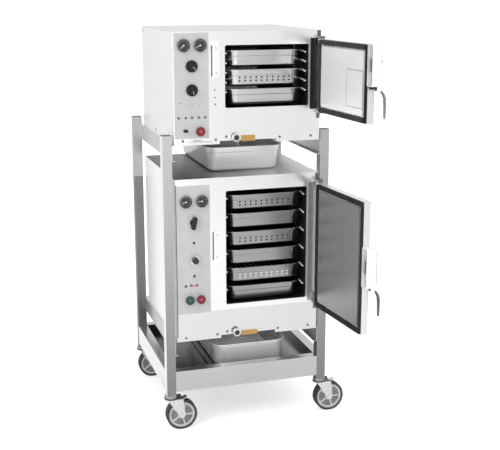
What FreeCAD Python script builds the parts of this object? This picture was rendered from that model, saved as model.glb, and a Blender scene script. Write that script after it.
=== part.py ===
import FreeCAD, Part
import Sketcher
import math
import os
import re

from FreeCAD import Placement, Rotation, Vector

# Two stacked convection steamers in a stand on casters.
# Origin: floor level, centre of the stand. +Z up, the front faces -Y, millimetres.

doc = FreeCAD.newDocument("convection_steamer")
sheet = doc.addObject("Spreadsheet::Sheet", "sizes")

SIZES = {
    # stand
    "stand_depth": 630,
    "post_size": 38,
    "post_wall": 2,
    "post_gap": 8,
    "post_top": 1210,
    "cap_height": 3,
    "rail_height": 61,
    "rail_ledge": 80,
    "rail_lip": 14,
    "rail_sheet": 2,
    "cross_bar_height": 20,
    "tray_rim_top": 253,
    "tray_skirt_bottom": 167,
    "tray_floor_top": 217.5,
    "tray_sheet": 1.5,
    # casters
    "caster_height": 151,
    "plug_size": 33.6,
    "plug_height": 30,
    "flange_thick": 4,
    "race_radius": 25,
    "race_height": 8,
    "king_pin_radius": 6,
    "king_nut_radius": 10,
    "king_nut_height": 5,
    "fork_crown_radius": 27,
    "fork_crown_thick": 7,
    "fork_back_reach": 20,
    "fork_width": 46,
    "fork_leg_thick": 3,
    "fork_eye_radius": 13,
    "fork_top_length": 46,
    "caster_trail": 42,
    "wheel_radius": 63.5,
    "wheel_width": 32,
    "tyre_thick": 12,
    "hub_boss_radius": 14,
    "hub_half_length": 19,
    "hub_dish": 4,
    "axle_radius": 6,
    "axle_head_radius": 9,
    "axle_head_height": 5,
    "pedal_pin_reach": 38,
    "pedal_pin_drop": 4.5,
    "pedal_pin_radius": 2.5,
    "pedal_length": 48,
    "pedal_width": 30,
    "pedal_thick": 4,
    "pedal_tread": 14,
    "pedal_tread_rise": 3,
    "pedal_boss_wall": 2,
    # cabinets
    "cabinet_depth": 584,
    "front_overhang": 6,
    "casing_sheet": 1.2,
    "casing_foot": 30,
    "panel_sheet": 2,
    "notch_left": 181,
    "notch_width": 229,
    "notch_height": 12,
    "base_recess": 14,
    "lower_cabinet_bottom": 381,
    "lower_cabinet_height": 661,
    "upper_cabinet_bottom": 1174,
    "upper_cabinet_height": 428,
    "opening_left": 203,
    "opening_right": 49,
    "opening_radius": 8,
    "lower_opening_rise": 140,
    "lower_opening_height": 466,
    "upper_opening_rise": 138,
    "upper_opening_height": 238,
    "liner_lip": 6,
    "liner_wall": 1.5,
    "liner_depth": 548,
    "liner_radius": 4.5,
    # control overlays
    "overlay_left": 4,
    "overlay_width": 134,
    "overlay_thick": 1,
    "upper_overlay_rise": 26,
    "upper_overlay_height": 398,
    "lower_overlay_rise": 115,
    "lower_overlay_height": 520,
    "gauge_radius": 27,
    "gauge_depth": 9,
    "gauge_bezel": 3,
    "gauge_recess": 2.5,
    "gauge_left": 41,
    "gauge_pitch": 64,
    "upper_gauge_rise": 377.5,
    "lower_gauge_rise": 573,
    "control_gap": 0.3,
    "upper_knob_left": 72,
    "upper_timer_rise": 300,
    "upper_mode_rise": 210,
    "pointer_knob_radius": 22.5,
    "pointer_knob_skirt": 5,
    "pointer_knob_height": 19,
    "pointer_grip_width": 11,
    "pointer_tail_width": 8,
    "pointer_tail_reach": 18.5,
    "pointer_shoulder": 9,
    "pointer_tip_reach": 20,
    "upper_timer_turn": 135,
    "upper_mode_turn": 165,
    "switch_left": 45,
    "switch_rise": 57,
    "switch_cheek_reach": 9,
    "switch_cheek_width": 12,
    "switch_cheek_thick": 3,
    "switch_cheek_depth": 8,
    "switch_pivot_forward": 4.2,
    "switch_lever_length": 20,
    "switch_lever_root": 6,
    "switch_lever_tip": 10,
    "switch_lever_width": 8,
    "switch_pivot_radius": 2,
    "switch_eye_wall": 1.6,
    "button_cap_radius": 18,
    "button_cap_depth": 7,
    "button_stem_radius": 9,
    "button_bezel_radius": 16,
    "button_bezel_depth": 9,
    "button_stroke": 4,
    "button_end_gap": 0.5,
    "upper_stop_left": 100,
    "upper_stop_rise": 54,
    "lower_start_left": 49.5,
    "lower_stop_left": 94.5,
    "lower_button_rise": 176.5,
    "selector_left": 71,
    "selector_rise": 488,
    "selector_radius": 14,
    "selector_length": 50,
    "selector_width": 17,
    "selector_height": 20,
    "selector_skirt": 4,
    "selector_corner": 6,
    "selector_turn": 12,
    "dial_left": 74,
    "dial_rise": 337,
    "dial_skirt_radius": 18,
    "dial_skirt": 5,
    "dial_grip_radius": 13,
    "dial_height": 20,
    "drain_left": 242,
    "upper_drain_rise": 25,
    "lower_drain_rise": 23.5,
    "drain_knob_radius": 16,
    "drain_knob_depth": 12,
    "drain_stem_radius": 7,
    "drain_stem_length": 10,
    # pans and racks
    "pan_width": 325,
    "pan_side_gap": 6.5,
    "pan_length": 530,
    "pan_depth": 65,
    "drip_pan_depth": 100,
    "pan_flange": 14,
    "pan_taper": 11,
    "pan_corner": 38,
    "pan_rim_corner": 22,
    "pan_sheet": 1,
    "pan_rim_lip": 4,
    "upper_top_pan_rise": 355,
    "upper_pan_pitch": 74,
    "lower_top_pan_rise": 582,
    "lower_pan_pitch": 75.2,
    "pan_setback": 20,
    "rack_wire_radius": 3,
    "rack_runner_inset": 1.5,
    "rack_setback": 12,
    "rack_length": 500,
    "rack_post_inset": 40,
    "rack_post_margin": 20,
    "seat_gap": 0.3,
    "upper_drip_setback": 108,
    "lower_drip_setback": 78,
    "upper_drip_offset": 23,
    "lower_drip_offset": 34,
    # doors, in the closed position
    "hinge_inset": 4,
    "hinge_forward": 33,
    "door_open_angle": 95.6,
    "door_edge_gap": 11,
    "door_back_gap": 8,
    "door_thick": 30,
    "door_margin": 21,
    "door_corner": 7,
    "door_recess": 3,
    "gasket_width": 24,
    "gasket_margin": 20,
    "gasket_gap": 0.3,
    "gasket_corner": 12,
    "door_liner_rise": 5,
    "door_liner_inset": 5,
    "access_width": 119,
    "access_height": 133,
    "access_rise": 31,
    "access_thick": 1.2,
    "hinge_pin_radius": 5,
    "hinge_eye_radius": 10,
    "hinge_eye_height": 30,
    "hinge_leaf_thick": 8,
    "hinge_pin_engage": 22,
    "hinge_lug_height": 8,
    "hinge_lug_gap": 1,
    "hinge_plate_height": 30,
    "hinge_plate_thick": 3,
    "running_clearance": 0.05,
    # latches, in the closed position
    "case_width": 34,
    "case_back_gap": 4,
    "case_depth": 46,
    "case_wall": 2,
    "case_corner": 6,
    "upper_case_rise": 114,
    "upper_case_height": 148,
    "lower_case_rise": 169,
    "lower_case_height": 150,
    "strike_inset": 5,
    "strike_side_step": 1,
    "strike_length": 136,
    "strike_width": 33,
    "strike_thick": 3,
    "strike_lip_inset": 3.5,
    "strike_lip_thick": 3,
    "strike_lip_reach": 18,
    "strike_bead_width": 7.5,
    "strike_bead_thick": 4,
    "hook_pivot_inset": 13,
    "hook_pivot_depth": 26,
    "hook_pin_radius": 3,
    "hook_eye_radius": 8,
    "hook_height": 44,
    "hook_root_half": 5,
    "hook_root_forward": 6,
    "hook_nose_reach": 14.5,
    "hook_nose_open": 9.5,
    "hook_arm_inner": 16.8,
    "hook_arm_outer": 20.5,
    "handle_pivot_drop": 12,
    "handle_pivot_depth": 32,
    "handle_eye_radius": 10,
    "handle_eye_width": 23.4,
    "handle_width": 20,
    "handle_thick": 13,
    "handle_round": 4.3,
    "handle_root_half": 9,
    "handle_root_lean": 2,
    "handle_shoulder_reach": 32,
    "handle_shoulder_drop": 8,
    "handle_bend_reach": 38,
    "handle_bend_drop": 26,
    "handle_crook_reach": 22,
    "handle_crook_drop": 24,
    "handle_inner_drop": 34,
    "handle_tip_reach": 36,
    "handle_length": 107,
    "handle_pin_radius": 4,
    "ear_radius": 8,
    "ear_thick": 4,
    "ear_gap": 0.3,
}

# the pans set the openings, the openings set the cabinets, and the cabinets set the stand
DERIVED = {
    "opening_width": "pan_width + 2 * pan_side_gap",
    "cabinet_width": "opening_left + opening_width + opening_right",
    "stand_width": "cabinet_width + 2 * (post_size + post_gap)",
}

for row, (alias, amount) in enumerate(SIZES.items(), start=1):
    sheet.set("A%d" % row, alias)
    sheet.set("B%d" % row, str(amount))
    sheet.setAlias("B%d" % row, alias)
doc.recompute()

WORD = re.compile(r"[a-z][a-z_]*[a-z]")
NEAR = 0.01
NO_TURN = Rotation()
FACE_OUT = Rotation(Vector(1, 0, 0), 90)
ALONG_X = Rotation(Vector(0, 1, 0), 90)
ALONG_Y = Rotation(Vector(1, 0, 0), -90)


def sheet_word(found):
    word = found.group(0)
    if word in DERIVED:
        return "(%s)" % formula(DERIVED[word])
    return "sizes." + word


# a formula over the names above, as the document's expressions want it
def formula(text):
    return WORD.sub(sheet_word, str(text))


# the same formula as a number, for the shapes that are set in code
def number(text):
    return float(sheet.evalExpression(formula(text)))


def place(item, at=("0", "0", "0"), turn=NO_TURN):
    item.Placement = Placement(Vector(0, 0, 0), turn)
    for axis, text in zip("xyz", at):
        item.setExpression("Placement.Base." + axis, formula(text))
    return item


def block(name, at, span):
    item = doc.addObject("Part::Box", name)
    for edge, text in zip(("Length", "Width", "Height"), span):
        item.setExpression(edge, formula(text))
    return place(item, at)


def rod(name, at, radius, length, turn=NO_TURN):
    item = doc.addObject("Part::Cylinder", name)
    item.setExpression("Radius", formula(radius))
    item.setExpression("Height", formula(length))
    return place(item, at, turn)


# a hexagonal head or nut, its size given to the corners
def hexagon(name, at, radius, length, turn=NO_TURN):
    item = doc.addObject("Part::Prism", name)
    item.Polygon = 6
    item.setExpression("Circumradius", formula(radius))
    item.setExpression("Height", formula(length))
    return place(item, at, turn)


def fuse(name, pieces):
    item = doc.addObject("Part::MultiFuse", name)
    item.Shapes = pieces
    item.Refine = True
    return item


def cut(name, base, tools):
    tool = tools[0]
    if len(tools) > 1:
        tool = fuse(name + "_tools", tools)
    item = doc.addObject("Part::Cut", name)
    item.Base = base
    item.Tool = tool
    item.Refine = True
    return item


def group(name, pieces):
    item = doc.addObject("Part::Compound", name)
    item.Links = pieces
    return item


# rounds every edge of an item that runs along one axis
def rounded(name, base, axis, radius, keep=None):
    base.recompute(True)
    item = doc.addObject("Part::Fillet", name)
    item.Base = base
    chosen = []
    for count, edge in enumerate(base.Shape.Edges, start=1):
        if edge.Curve.TypeId != "Part::GeomLine":
            continue
        along = edge.tangentAt(edge.FirstParameter)
        if abs(along.dot(axis)) < 0.999:
            continue
        if keep is None or keep(edge.CenterOfMass):
            chosen.append((count, number(radius), number(radius)))
    item.Edges = chosen
    return item


def origin_plane(body, role):
    for feature in body.Origin.OriginFeatures:
        if feature.Role == role:
            return feature


def new_body(name, role):
    body = doc.addObject("PartDesign::Body", name)
    sketch = body.newObject("Sketcher::SketchObject", name + "_sketch")
    sketch.AttachmentSupport = [(origin_plane(body, role), "")]
    sketch.MapMode = "FlatFace"
    return body, sketch


# a closed outline whose corners are each held by two formulas
def outline(sketch, corners):
    points = [Vector(number(across), number(up), 0) for across, up in corners]
    first = sketch.GeometryCount
    for count, point in enumerate(points):
        following = points[(count + 1) % len(points)]
        sketch.addGeometry(Part.LineSegment(point, following), False)
    for count, (across, up) in enumerate(corners):
        line = first + count
        after = first + (count + 1) % len(corners)
        sketch.addConstraint(Sketcher.Constraint("Coincident", line, 2, after, 1))
    for count, (across, up) in enumerate(corners):
        line = first + count
        for kind, text in (("DistanceX", across), ("DistanceY", up)):
            held = sketch.addConstraint(
                Sketcher.Constraint(kind, -1, 1, line, 1, number(text))
            )
            sketch.setExpression("Constraints[%d]" % held, formula(text))


# a rectangle with rounded corners: low corner, spans and radius by formula
def round_outline(sketch, left, low, width, height, radius):
    x0, y0 = number(left), number(low)
    x1, y1 = x0 + number(width), y0 + number(height)
    r = number(radius)
    first = sketch.GeometryCount
    ends = (
        (Vector(x0 + r, y0, 0), Vector(x1 - r, y0, 0)),
        (Vector(x1, y0 + r, 0), Vector(x1, y1 - r, 0)),
        (Vector(x1 - r, y1, 0), Vector(x0 + r, y1, 0)),
        (Vector(x0, y1 - r, 0), Vector(x0, y0 + r, 0)),
    )
    centres = (
        (Vector(x1 - r, y0 + r, 0), 1.5 * math.pi),
        (Vector(x1 - r, y1 - r, 0), 0),
        (Vector(x0 + r, y1 - r, 0), 0.5 * math.pi),
        (Vector(x0 + r, y0 + r, 0), math.pi),
    )
    for start, stop in ends:
        sketch.addGeometry(Part.LineSegment(start, stop), False)
    for centre, angle in centres:
        circle = Part.Circle(centre, Vector(0, 0, 1), r)
        sketch.addGeometry(Part.ArcOfCircle(circle, angle, angle + 0.5 * math.pi), False)
    rule = Sketcher.Constraint
    for side in range(4):
        line = first + side
        arc = first + 4 + side
        after = first + (side + 1) % 4
        sketch.addConstraint(rule("Tangent", line, 2, arc, 1))
        sketch.addConstraint(rule("Tangent", arc, 2, after, 1))
        if side:
            sketch.addConstraint(rule("Equal", first + 4, arc))
    for line in (first, first + 2):
        sketch.addConstraint(rule("Horizontal", line))
    for line in (first + 1, first + 3):
        sketch.addConstraint(rule("Vertical", line))
    sized = (
        (rule("Radius", first + 4, r), radius),
        (rule("DistanceX", -1, 1, first + 3, 1, x0), left),
        (rule("DistanceY", -1, 1, first, 1, y0), low),
        (rule("DistanceX", first + 3, 1, first + 1, 1, x1 - x0), width),
        (rule("DistanceY", first, 1, first + 2, 1, y1 - y0), height),
    )
    for constraint, text in sized:
        held = sketch.addConstraint(constraint)
        sketch.setExpression("Constraints[%d]" % held, formula(text))


def ring(sketch, across, up, radius):
    centre = Vector(number(across), number(up), 0)
    first = sketch.addGeometry(Part.Circle(centre, Vector(0, 0, 1), number(radius)), False)
    sized = (
        (Sketcher.Constraint("Radius", first, number(radius)), radius),
        (Sketcher.Constraint("DistanceX", -1, 1, first, 3, centre.x), across),
        (Sketcher.Constraint("DistanceY", -1, 1, first, 3, centre.y), up),
    )
    for constraint, text in sized:
        held = sketch.addConstraint(constraint)
        sketch.setExpression("Constraints[%d]" % held, formula(text))


def pad(body, sketch, length, both_ways=False):
    item = body.newObject("PartDesign::Pad", body.Name + "_pad")
    item.Profile = sketch
    item.setExpression("Length", formula(length))
    item.Midplane = both_ways
    body.Tip = item
    return item


# a turned piece: its half section, as radius and height, spun about its own Z axis
def turned(name, section):
    body, sketch = new_body(name, "XZ_Plane")
    outline(sketch, section)
    item = body.newObject("PartDesign::Revolution", name + "_turn")
    item.Profile = sketch
    item.ReferenceAxis = (sketch, ["V_Axis"])
    item.Angle = 360
    body.Tip = item
    return body


NODES = []


# the finished piece gets its node's name
def node(name, item):
    item.Label = name
    NODES.append((name, item))
    return item


SIDES = (("left", -1), ("right", 1))
ENDS = (("front", -1), ("rear", 1))
LEVELS = ("upper", "lower")


# the low coordinate of a piece whose outer face lies at plus or minus a reach
def inside_of(sign, reach, width):
    if sign < 0:
        return "-(%s)" % reach
    return "%s - %s" % (reach, width)


def stand_posts():
    pieces = []
    for end, back in ENDS:
        for side, right in SIDES:
            tag = "post_%s_%s" % (end, side)
            x = inside_of(right, "stand_width / 2", "post_size")
            y = inside_of(back, "stand_depth / 2", "post_size")
            length = "post_top - caster_height"
            outer = block(tag + "_outer", (x, y, "caster_height"), ("post_size", "post_size", length))
            inner = block(
                tag + "_bore",
                (x + " + post_wall", y + " + post_wall", "caster_height"),
                ("post_size - 2 * post_wall", "post_size - 2 * post_wall", length),
            )
            pieces.append(cut(tag, outer, [inner]))
            pieces.append(
                block(tag + "_cap", (x, y, "post_top"), ("post_size", "post_size", "cap_height"))
            )
    node("stand_posts", group("stand_posts", pieces))


# a side rail is a channel between the posts: web, ledge inwards on top, lip inwards below
def stand_rails():
    pieces = []
    between = "stand_width / 2 - post_size"
    reach = "(stand_depth - 2 * casing_sheet)"
    for level in LEVELS:
        top = level + "_cabinet_bottom"
        for side, right in SIDES:
            tag = "rail_%s_%s" % (level, side)
            web = block(
                tag + "_web",
                (
                    inside_of(right, between, "rail_sheet"),
                    "-%s / 2" % reach,
                    top + " - rail_height",
                ),
                ("rail_sheet", reach, "rail_height"),
            )
            ledge = block(
                tag + "_ledge",
                (inside_of(right, between, "rail_ledge"), "-%s / 2" % reach, top + " - rail_sheet"),
                ("rail_ledge", reach, "rail_sheet"),
            )
            lip = block(
                tag + "_lip",
                (inside_of(right, between, "rail_lip"), "-%s / 2" % reach, top + " - rail_height"),
                ("rail_lip", reach, "rail_sheet"),
            )
            pieces.append(fuse(tag, [web, ledge, lip]))
        bar = "cross_bar_" + level
        pieces.append(
            block(
                bar,
                (
                    "-(%s - rail_sheet)" % between,
                    "stand_depth / 2 - post_size",
                    top + " - rail_sheet - cross_bar_height",
                ),
                ("2 * (%s - rail_sheet)" % between, "post_size - casing_sheet", "cross_bar_height"),
            )
        )
    node("stand_rails", group("stand_rails", pieces))


# the tray: a basin between the posts, a rim level with their outer faces, a skirt round it
def bottom_tray():
    half_x = "(stand_width / 2 - post_size)"
    half_y = "(stand_depth / 2 - post_size)"
    depth = "(tray_rim_top - tray_floor_top + tray_sheet)"
    floor_low = "tray_floor_top - tray_sheet"
    outer = block(
        "tray_basin_outer",
        ("-" + half_x, "-" + half_y, floor_low),
        ("2 * " + half_x, "2 * " + half_y, depth),
    )
    inner = block(
        "tray_basin_inner",
        ("tray_sheet - " + half_x, "tray_sheet - " + half_y, "tray_floor_top"),
        ("2 * (%s - tray_sheet)" % half_x, "2 * (%s - tray_sheet)" % half_y, depth),
    )
    pieces = [cut("tray_basin", outer, [inner])]
    skirt_height = "tray_rim_top - tray_skirt_bottom"
    for end, back in ENDS:
        pieces.append(
            block(
                "tray_rim_" + end,
                ("-" + half_x, inside_of(back, "stand_depth / 2", "post_size"), "tray_rim_top - tray_sheet"),
                ("2 * " + half_x, "post_size", "tray_sheet"),
            )
        )
        pieces.append(
            block(
                "tray_skirt_" + end,
                ("-" + half_x, inside_of(back, "stand_depth / 2", "tray_sheet"), "tray_skirt_bottom"),
                ("2 * " + half_x, "tray_sheet", skirt_height),
            )
        )
    for side, right in SIDES:
        pieces.append(
            block(
                "tray_rim_" + side,
                (inside_of(right, "stand_width / 2", "post_size"), "-" + half_y, "tray_rim_top - tray_sheet"),
                ("post_size", "2 * " + half_y, "tray_sheet"),
            )
        )
        pieces.append(
            block(
                "tray_skirt_" + side,
                (inside_of(right, "stand_width / 2", "tray_sheet"), "-" + half_y, "tray_skirt_bottom"),
                ("tray_sheet", "2 * " + half_y, skirt_height),
            )
        )
    node("bottom_tray", fuse("bottom_tray", pieces))


def post_axis(right, back):
    x = "stand_width / 2 - post_size / 2"
    y = "stand_depth / 2 - post_size / 2"
    return ("%d * (%s)" % (right, x), "%d * (%s)" % (back, y), "0")


RACE_LOW = "(caster_height - flange_thick - race_height)"
CROWN_LOW = "(%s - fork_crown_thick - seat_gap)" % RACE_LOW
PEDAL_PIN_RISE = "(%s + fork_crown_thick - pedal_pin_drop)" % CROWN_LOW


# fixed part of a caster: plug in the tube, flange, bearing race, king pin and its nut
def caster_mount(tag, right, back):
    plug = block(
        tag + "_plug",
        ("-plug_size / 2", "-plug_size / 2", "caster_height"),
        ("plug_size", "plug_size", "plug_height"),
    )
    flange = block(
        tag + "_flange",
        ("-post_size / 2", "-post_size / 2", "caster_height - flange_thick"),
        ("post_size", "post_size", "flange_thick"),
    )
    race = rod(tag + "_race", ("0", "0", RACE_LOW), "race_radius", "race_height")
    nut_low = "(%s - seat_gap - king_nut_height)" % CROWN_LOW
    pin = rod(tag + "_pin", ("0", "0", nut_low), "king_pin_radius", "%s - %s" % (RACE_LOW, nut_low))
    nut = hexagon(tag + "_nut", ("0", "0", nut_low), "king_nut_radius", "king_nut_height")
    mount = fuse(tag, [plug, flange, race, pin, nut])
    return place(mount, post_axis(right, back))


# swivelling fork: crown round the king pin, two legs that trail back to the axle
def caster_fork(name, right, back, braked):
    body, sketch = new_body(name + "_legs", "XZ_Plane")
    top = CROWN_LOW + " + fork_crown_thick"
    outline(
        sketch,
        (
            ("-fork_back_reach", top),
            ("fork_top_length", top),
            ("caster_trail + fork_eye_radius", "wheel_radius"),
            ("caster_trail - fork_eye_radius", "wheel_radius"),
        ),
    )
    pad(body, sketch, "fork_width", True)
    crown = rod(name + "_crown", ("0", "0", CROWN_LOW), "fork_crown_radius", "fork_crown_thick")
    eye = rod(
        name + "_eye",
        ("caster_trail", "-fork_width / 2", "wheel_radius"),
        "fork_eye_radius",
        "fork_width",
        ALONG_Y,
    )
    blank = fuse(name + "_blank", [body, crown, eye])
    inner = "(fork_width - 2 * fork_leg_thick)"
    channel = block(
        name + "_channel",
        ("-2 * fork_crown_radius", "-%s / 2" % inner, "0"),
        ("4 * fork_crown_radius + caster_trail", inner, CROWN_LOW),
    )
    bore = rod(
        name + "_bore",
        ("0", "0", CROWN_LOW + " - fork_crown_thick"),
        "king_pin_radius + running_clearance",
        "3 * fork_crown_thick",
    )
    slot = block(
        name + "_slot",
        ("fork_crown_radius", "-%s / 2" % inner, "0"),
        ("4 * fork_crown_radius", inner, "caster_height"),
    )
    open_fork = cut(name + "_open", blank, [channel, slot, bore])
    axle_half = "(fork_width / 2 + axle_head_height)"
    pieces = [
        open_fork,
        rod(
            name + "_axle",
            ("caster_trail", "-fork_width / 2", "wheel_radius"),
            "axle_radius",
            "fork_width",
            ALONG_Y,
        ),
    ]
    for end, y in (("near", "-" + axle_half), ("far", "fork_width / 2")):
        pieces.append(
            hexagon(
                name + "_head_" + end,
                ("caster_trail", y, "wheel_radius"),
                "axle_head_radius",
                "axle_head_height",
                ALONG_Y,
            )
        )
    if braked:
        pieces.append(
            rod(
                name + "_pedal_pin",
                ("pedal_pin_reach", "-fork_width / 2", PEDAL_PIN_RISE),
                "pedal_pin_radius",
                "fork_width",
                ALONG_Y,
            )
        )
    node(name, place(fuse(name, pieces), post_axis(right, back)))


# wheel: a long boss, a sunk hub disc and the tread moulded round it
def caster_wheel(name, right, back):
    bore = "axle_radius + running_clearance"
    rim = "wheel_radius - tyre_thick"
    disc = "wheel_width / 2 - hub_dish"
    wheel = turned(
        name,
        (
            (bore, "-hub_half_length"),
            (bore, "hub_half_length"),
            ("hub_boss_radius", "hub_half_length"),
            ("hub_boss_radius", disc),
            (rim, disc),
            (rim, "wheel_width / 2"),
            ("wheel_radius", "wheel_width / 2"),
            ("wheel_radius", "-wheel_width / 2"),
            (rim, "-wheel_width / 2"),
            (rim, "-(%s)" % disc),
            ("hub_boss_radius", "-(%s)" % disc),
            ("hub_boss_radius", "-hub_half_length"),
        ),
    )
    x, y, z = post_axis(right, back)
    node(name, place(wheel, (x + " + caster_trail", y, "wheel_radius"), ALONG_Y))


# brake pedal: a tread plate on a pin between the fork's legs, above the wheel
def brake_pedal(name, right, back):
    x, y, z = post_axis(right, back)
    boss = rod(
        name + "_boss",
        ("0", "-pedal_width / 2", "0"),
        "pedal_pin_radius + pedal_boss_wall",
        "pedal_width",
        ALONG_Y,
    )
    plate = block(
        name + "_plate",
        ("0", "-pedal_width / 2", "-pedal_thick / 2"),
        ("pedal_length", "pedal_width", "pedal_thick"),
    )
    tread = block(
        name + "_tread",
        ("pedal_length - pedal_tread", "-pedal_width / 2", "-pedal_thick / 2"),
        ("pedal_tread", "pedal_width", "pedal_thick + pedal_tread_rise"),
    )
    bore = rod(
        name + "_bore",
        ("0", "-pedal_width", "0"),
        "pedal_pin_radius + running_clearance",
        "2 * pedal_width",
        ALONG_Y,
    )
    pedal = cut(name, fuse(name + "_blank", [boss, plate, tread]), [bore])
    at = (x + " + pedal_pin_reach", y, PEDAL_PIN_RISE)
    node(name, place(pedal, at))


def casters():
    mounts = []
    for end, back in ENDS:
        for side, right in SIDES:
            tag = "%s_%s" % (end, side)
            mounts.append(caster_mount("mount_" + tag, right, back))
            caster_fork("caster_fork_" + tag, right, back, back < 0)
            caster_wheel("caster_wheel_" + tag, right, back)
            if back < 0:
                brake_pedal("brake_pedal_" + tag, right, back)
    node("caster_mounts", group("caster_mounts", mounts))


FRONT = "(-stand_depth / 2 - front_overhang)"
LEFT = "(-cabinet_width / 2)"
CAVITY_CENTRE = "(%s + opening_left + opening_width / 2)" % LEFT


# wrapper of one cabinet: top, sides and inward feet, bent from one sheet
def casing(level):
    name = level + "_casing"
    body, sketch = new_body(name, "XZ_Plane")
    low = level + "_cabinet_bottom"
    high = "%s + %s_cabinet_height" % (low, level)
    half = "cabinet_width / 2"
    outline(
        sketch,
        (
            ("-" + half, low),
            ("casing_foot - " + half, low),
            ("casing_foot - " + half, low + " + casing_sheet"),
            ("casing_sheet - " + half, low + " + casing_sheet"),
            ("casing_sheet - " + half, high + " - casing_sheet"),
            (half + " - casing_sheet", high + " - casing_sheet"),
            (half + " - casing_sheet", low + " + casing_sheet"),
            (half + " - casing_foot", low + " + casing_sheet"),
            (half + " - casing_foot", low),
            (half, low),
            (half, high),
            ("-" + half, high),
        ),
    )
    pad(body, sketch, "cabinet_depth - panel_sheet")
    node(name, place(body, ("0", FRONT + " + cabinet_depth", "0")))


# front panel: the door opening with rounded corners, and a shallow notch in the bottom edge
def front_panel(level):
    name = level + "_front_panel"
    body, sketch = new_body(name, "XZ_Plane")
    low = level + "_cabinet_bottom"
    high = "%s + %s_cabinet_height" % (low, level)
    half = "cabinet_width / 2"
    outline(
        sketch,
        (
            ("-" + half, low),
            ("notch_left - " + half, low),
            ("notch_left - " + half, low + " + notch_height"),
            ("notch_left + notch_width - " + half, low + " + notch_height"),
            ("notch_left + notch_width - " + half, low),
            (half, low),
            (half, high),
            ("-" + half, high),
        ),
    )
    round_outline(
        sketch,
        "opening_left - " + half,
        "%s + %s_opening_rise" % (low, level),
        "opening_width",
        level + "_opening_height",
        "opening_radius",
    )
    pad(body, sketch, "panel_sheet")
    node(name, place(body, ("0", FRONT + " + panel_sheet", "0")))


# cavity liner: a deep drawn box, open at the front, that starts behind the panel
def cavity_liner(level):
    name = level + "_cavity_liner"
    low = "(%s_cabinet_bottom + %s_opening_rise - liner_lip)" % (level, level)
    width = "(opening_width + 2 * liner_lip)"
    height = "(%s_opening_height + 2 * liner_lip)" % level
    back = FRONT + " + panel_sheet"
    outer = block(
        name + "_outer",
        (CAVITY_CENTRE + " - %s / 2 - liner_wall" % width, back, low + " - liner_wall"),
        (width + " + 2 * liner_wall", "liner_depth + liner_wall", height + " + 2 * liner_wall"),
    )
    inner = block(
        name + "_inner",
        (CAVITY_CENTRE + " - %s / 2" % width, back, low),
        (width, "liner_depth", height),
    )
    along = Vector(0, 1, 0)
    shell = cut(
        name,
        rounded(name + "_outer_round", outer, along, "liner_radius + liner_wall"),
        [rounded(name + "_inner_round", inner, along, "liner_radius")],
    )
    node(name, shell)


# underside and back sheets, set inside each casing
def bases_and_backs():
    inside = "(cabinet_width - 2 * casing_sheet)"
    bases = []
    backs = []
    for level in LEVELS:
        low = level + "_cabinet_bottom"
        bases.append(
            block(
                level + "_base",
                ("-%s / 2" % inside, FRONT + " + panel_sheet", low + " + base_recess"),
                (inside, "cabinet_depth - panel_sheet - casing_sheet", "casing_sheet"),
            )
        )
        backs.append(
            block(
                level + "_back",
                ("-%s / 2" % inside, FRONT + " + cabinet_depth - casing_sheet", low + " + casing_sheet"),
                (inside, "casing_sheet", level + "_cabinet_height - 2 * casing_sheet"),
            )
        )
    node("cabinet_bases", group("cabinet_bases", bases))
    node("cabinet_backs", group("cabinet_backs", backs))


# a point on a cabinet's front, from the cabinet's left edge and its bottom
def on_front(level, across, rise, forward="0"):
    return (
        "%s + %s" % (LEFT, across),
        "%s - (%s)" % (FRONT, forward),
        "%s_cabinet_bottom + %s" % (level, rise),
    )


def bezel_ring(name, level, across, rise, radius, bore, depth):
    body, sketch = new_body(name, "XY_Plane")
    ring(sketch, "0", "0", radius)
    ring(sketch, "0", "0", bore)
    pad(body, sketch, depth)
    return place(body, on_front(level, across, rise, "overlay_thick"), FACE_OUT)


# raised control overlays with the fixed rings of the switch and the buttons
def control_overlays():
    pieces = []
    for level in LEVELS:
        pieces.append(
            block(
                level + "_overlay",
                on_front(level, "overlay_left", level + "_overlay_rise", "overlay_thick"),
                ("overlay_width", "overlay_thick", level + "_overlay_height"),
            )
        )
    buttons = (
        ("upper", "upper_stop_left", "upper_stop_rise"),
        ("lower", "lower_start_left", "lower_button_rise"),
        ("lower", "lower_stop_left", "lower_button_rise"),
    )
    for count, (level, across, rise) in enumerate(buttons):
        pieces.append(
            bezel_ring(
                "button_ring_%d" % count,
                level,
                across,
                rise,
                "button_bezel_radius",
                "button_stem_radius + running_clearance",
                "button_bezel_depth",
            )
        )
    yoke = [
        rod(
            "switch_pin",
            on_front(
                "upper",
                "switch_left",
                "switch_rise - switch_cheek_reach",
                "overlay_thick + switch_pivot_forward",
            ),
            "switch_pivot_radius",
            "2 * switch_cheek_reach",
        )
    ]
    for tag, low in (("low", "-switch_cheek_reach"), ("high", "switch_cheek_reach - switch_cheek_thick")):
        yoke.append(
            block(
                "switch_cheek_" + tag,
                on_front(
                    "upper",
                    "switch_left - switch_cheek_width / 2",
                    "switch_rise + " + low,
                    "overlay_thick + switch_cheek_depth",
                ),
                ("switch_cheek_width", "switch_cheek_depth", "switch_cheek_thick"),
            )
        )
    pieces.append(fuse("switch_yoke", yoke))
    node("control_overlays", group("control_overlays", pieces))


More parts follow.
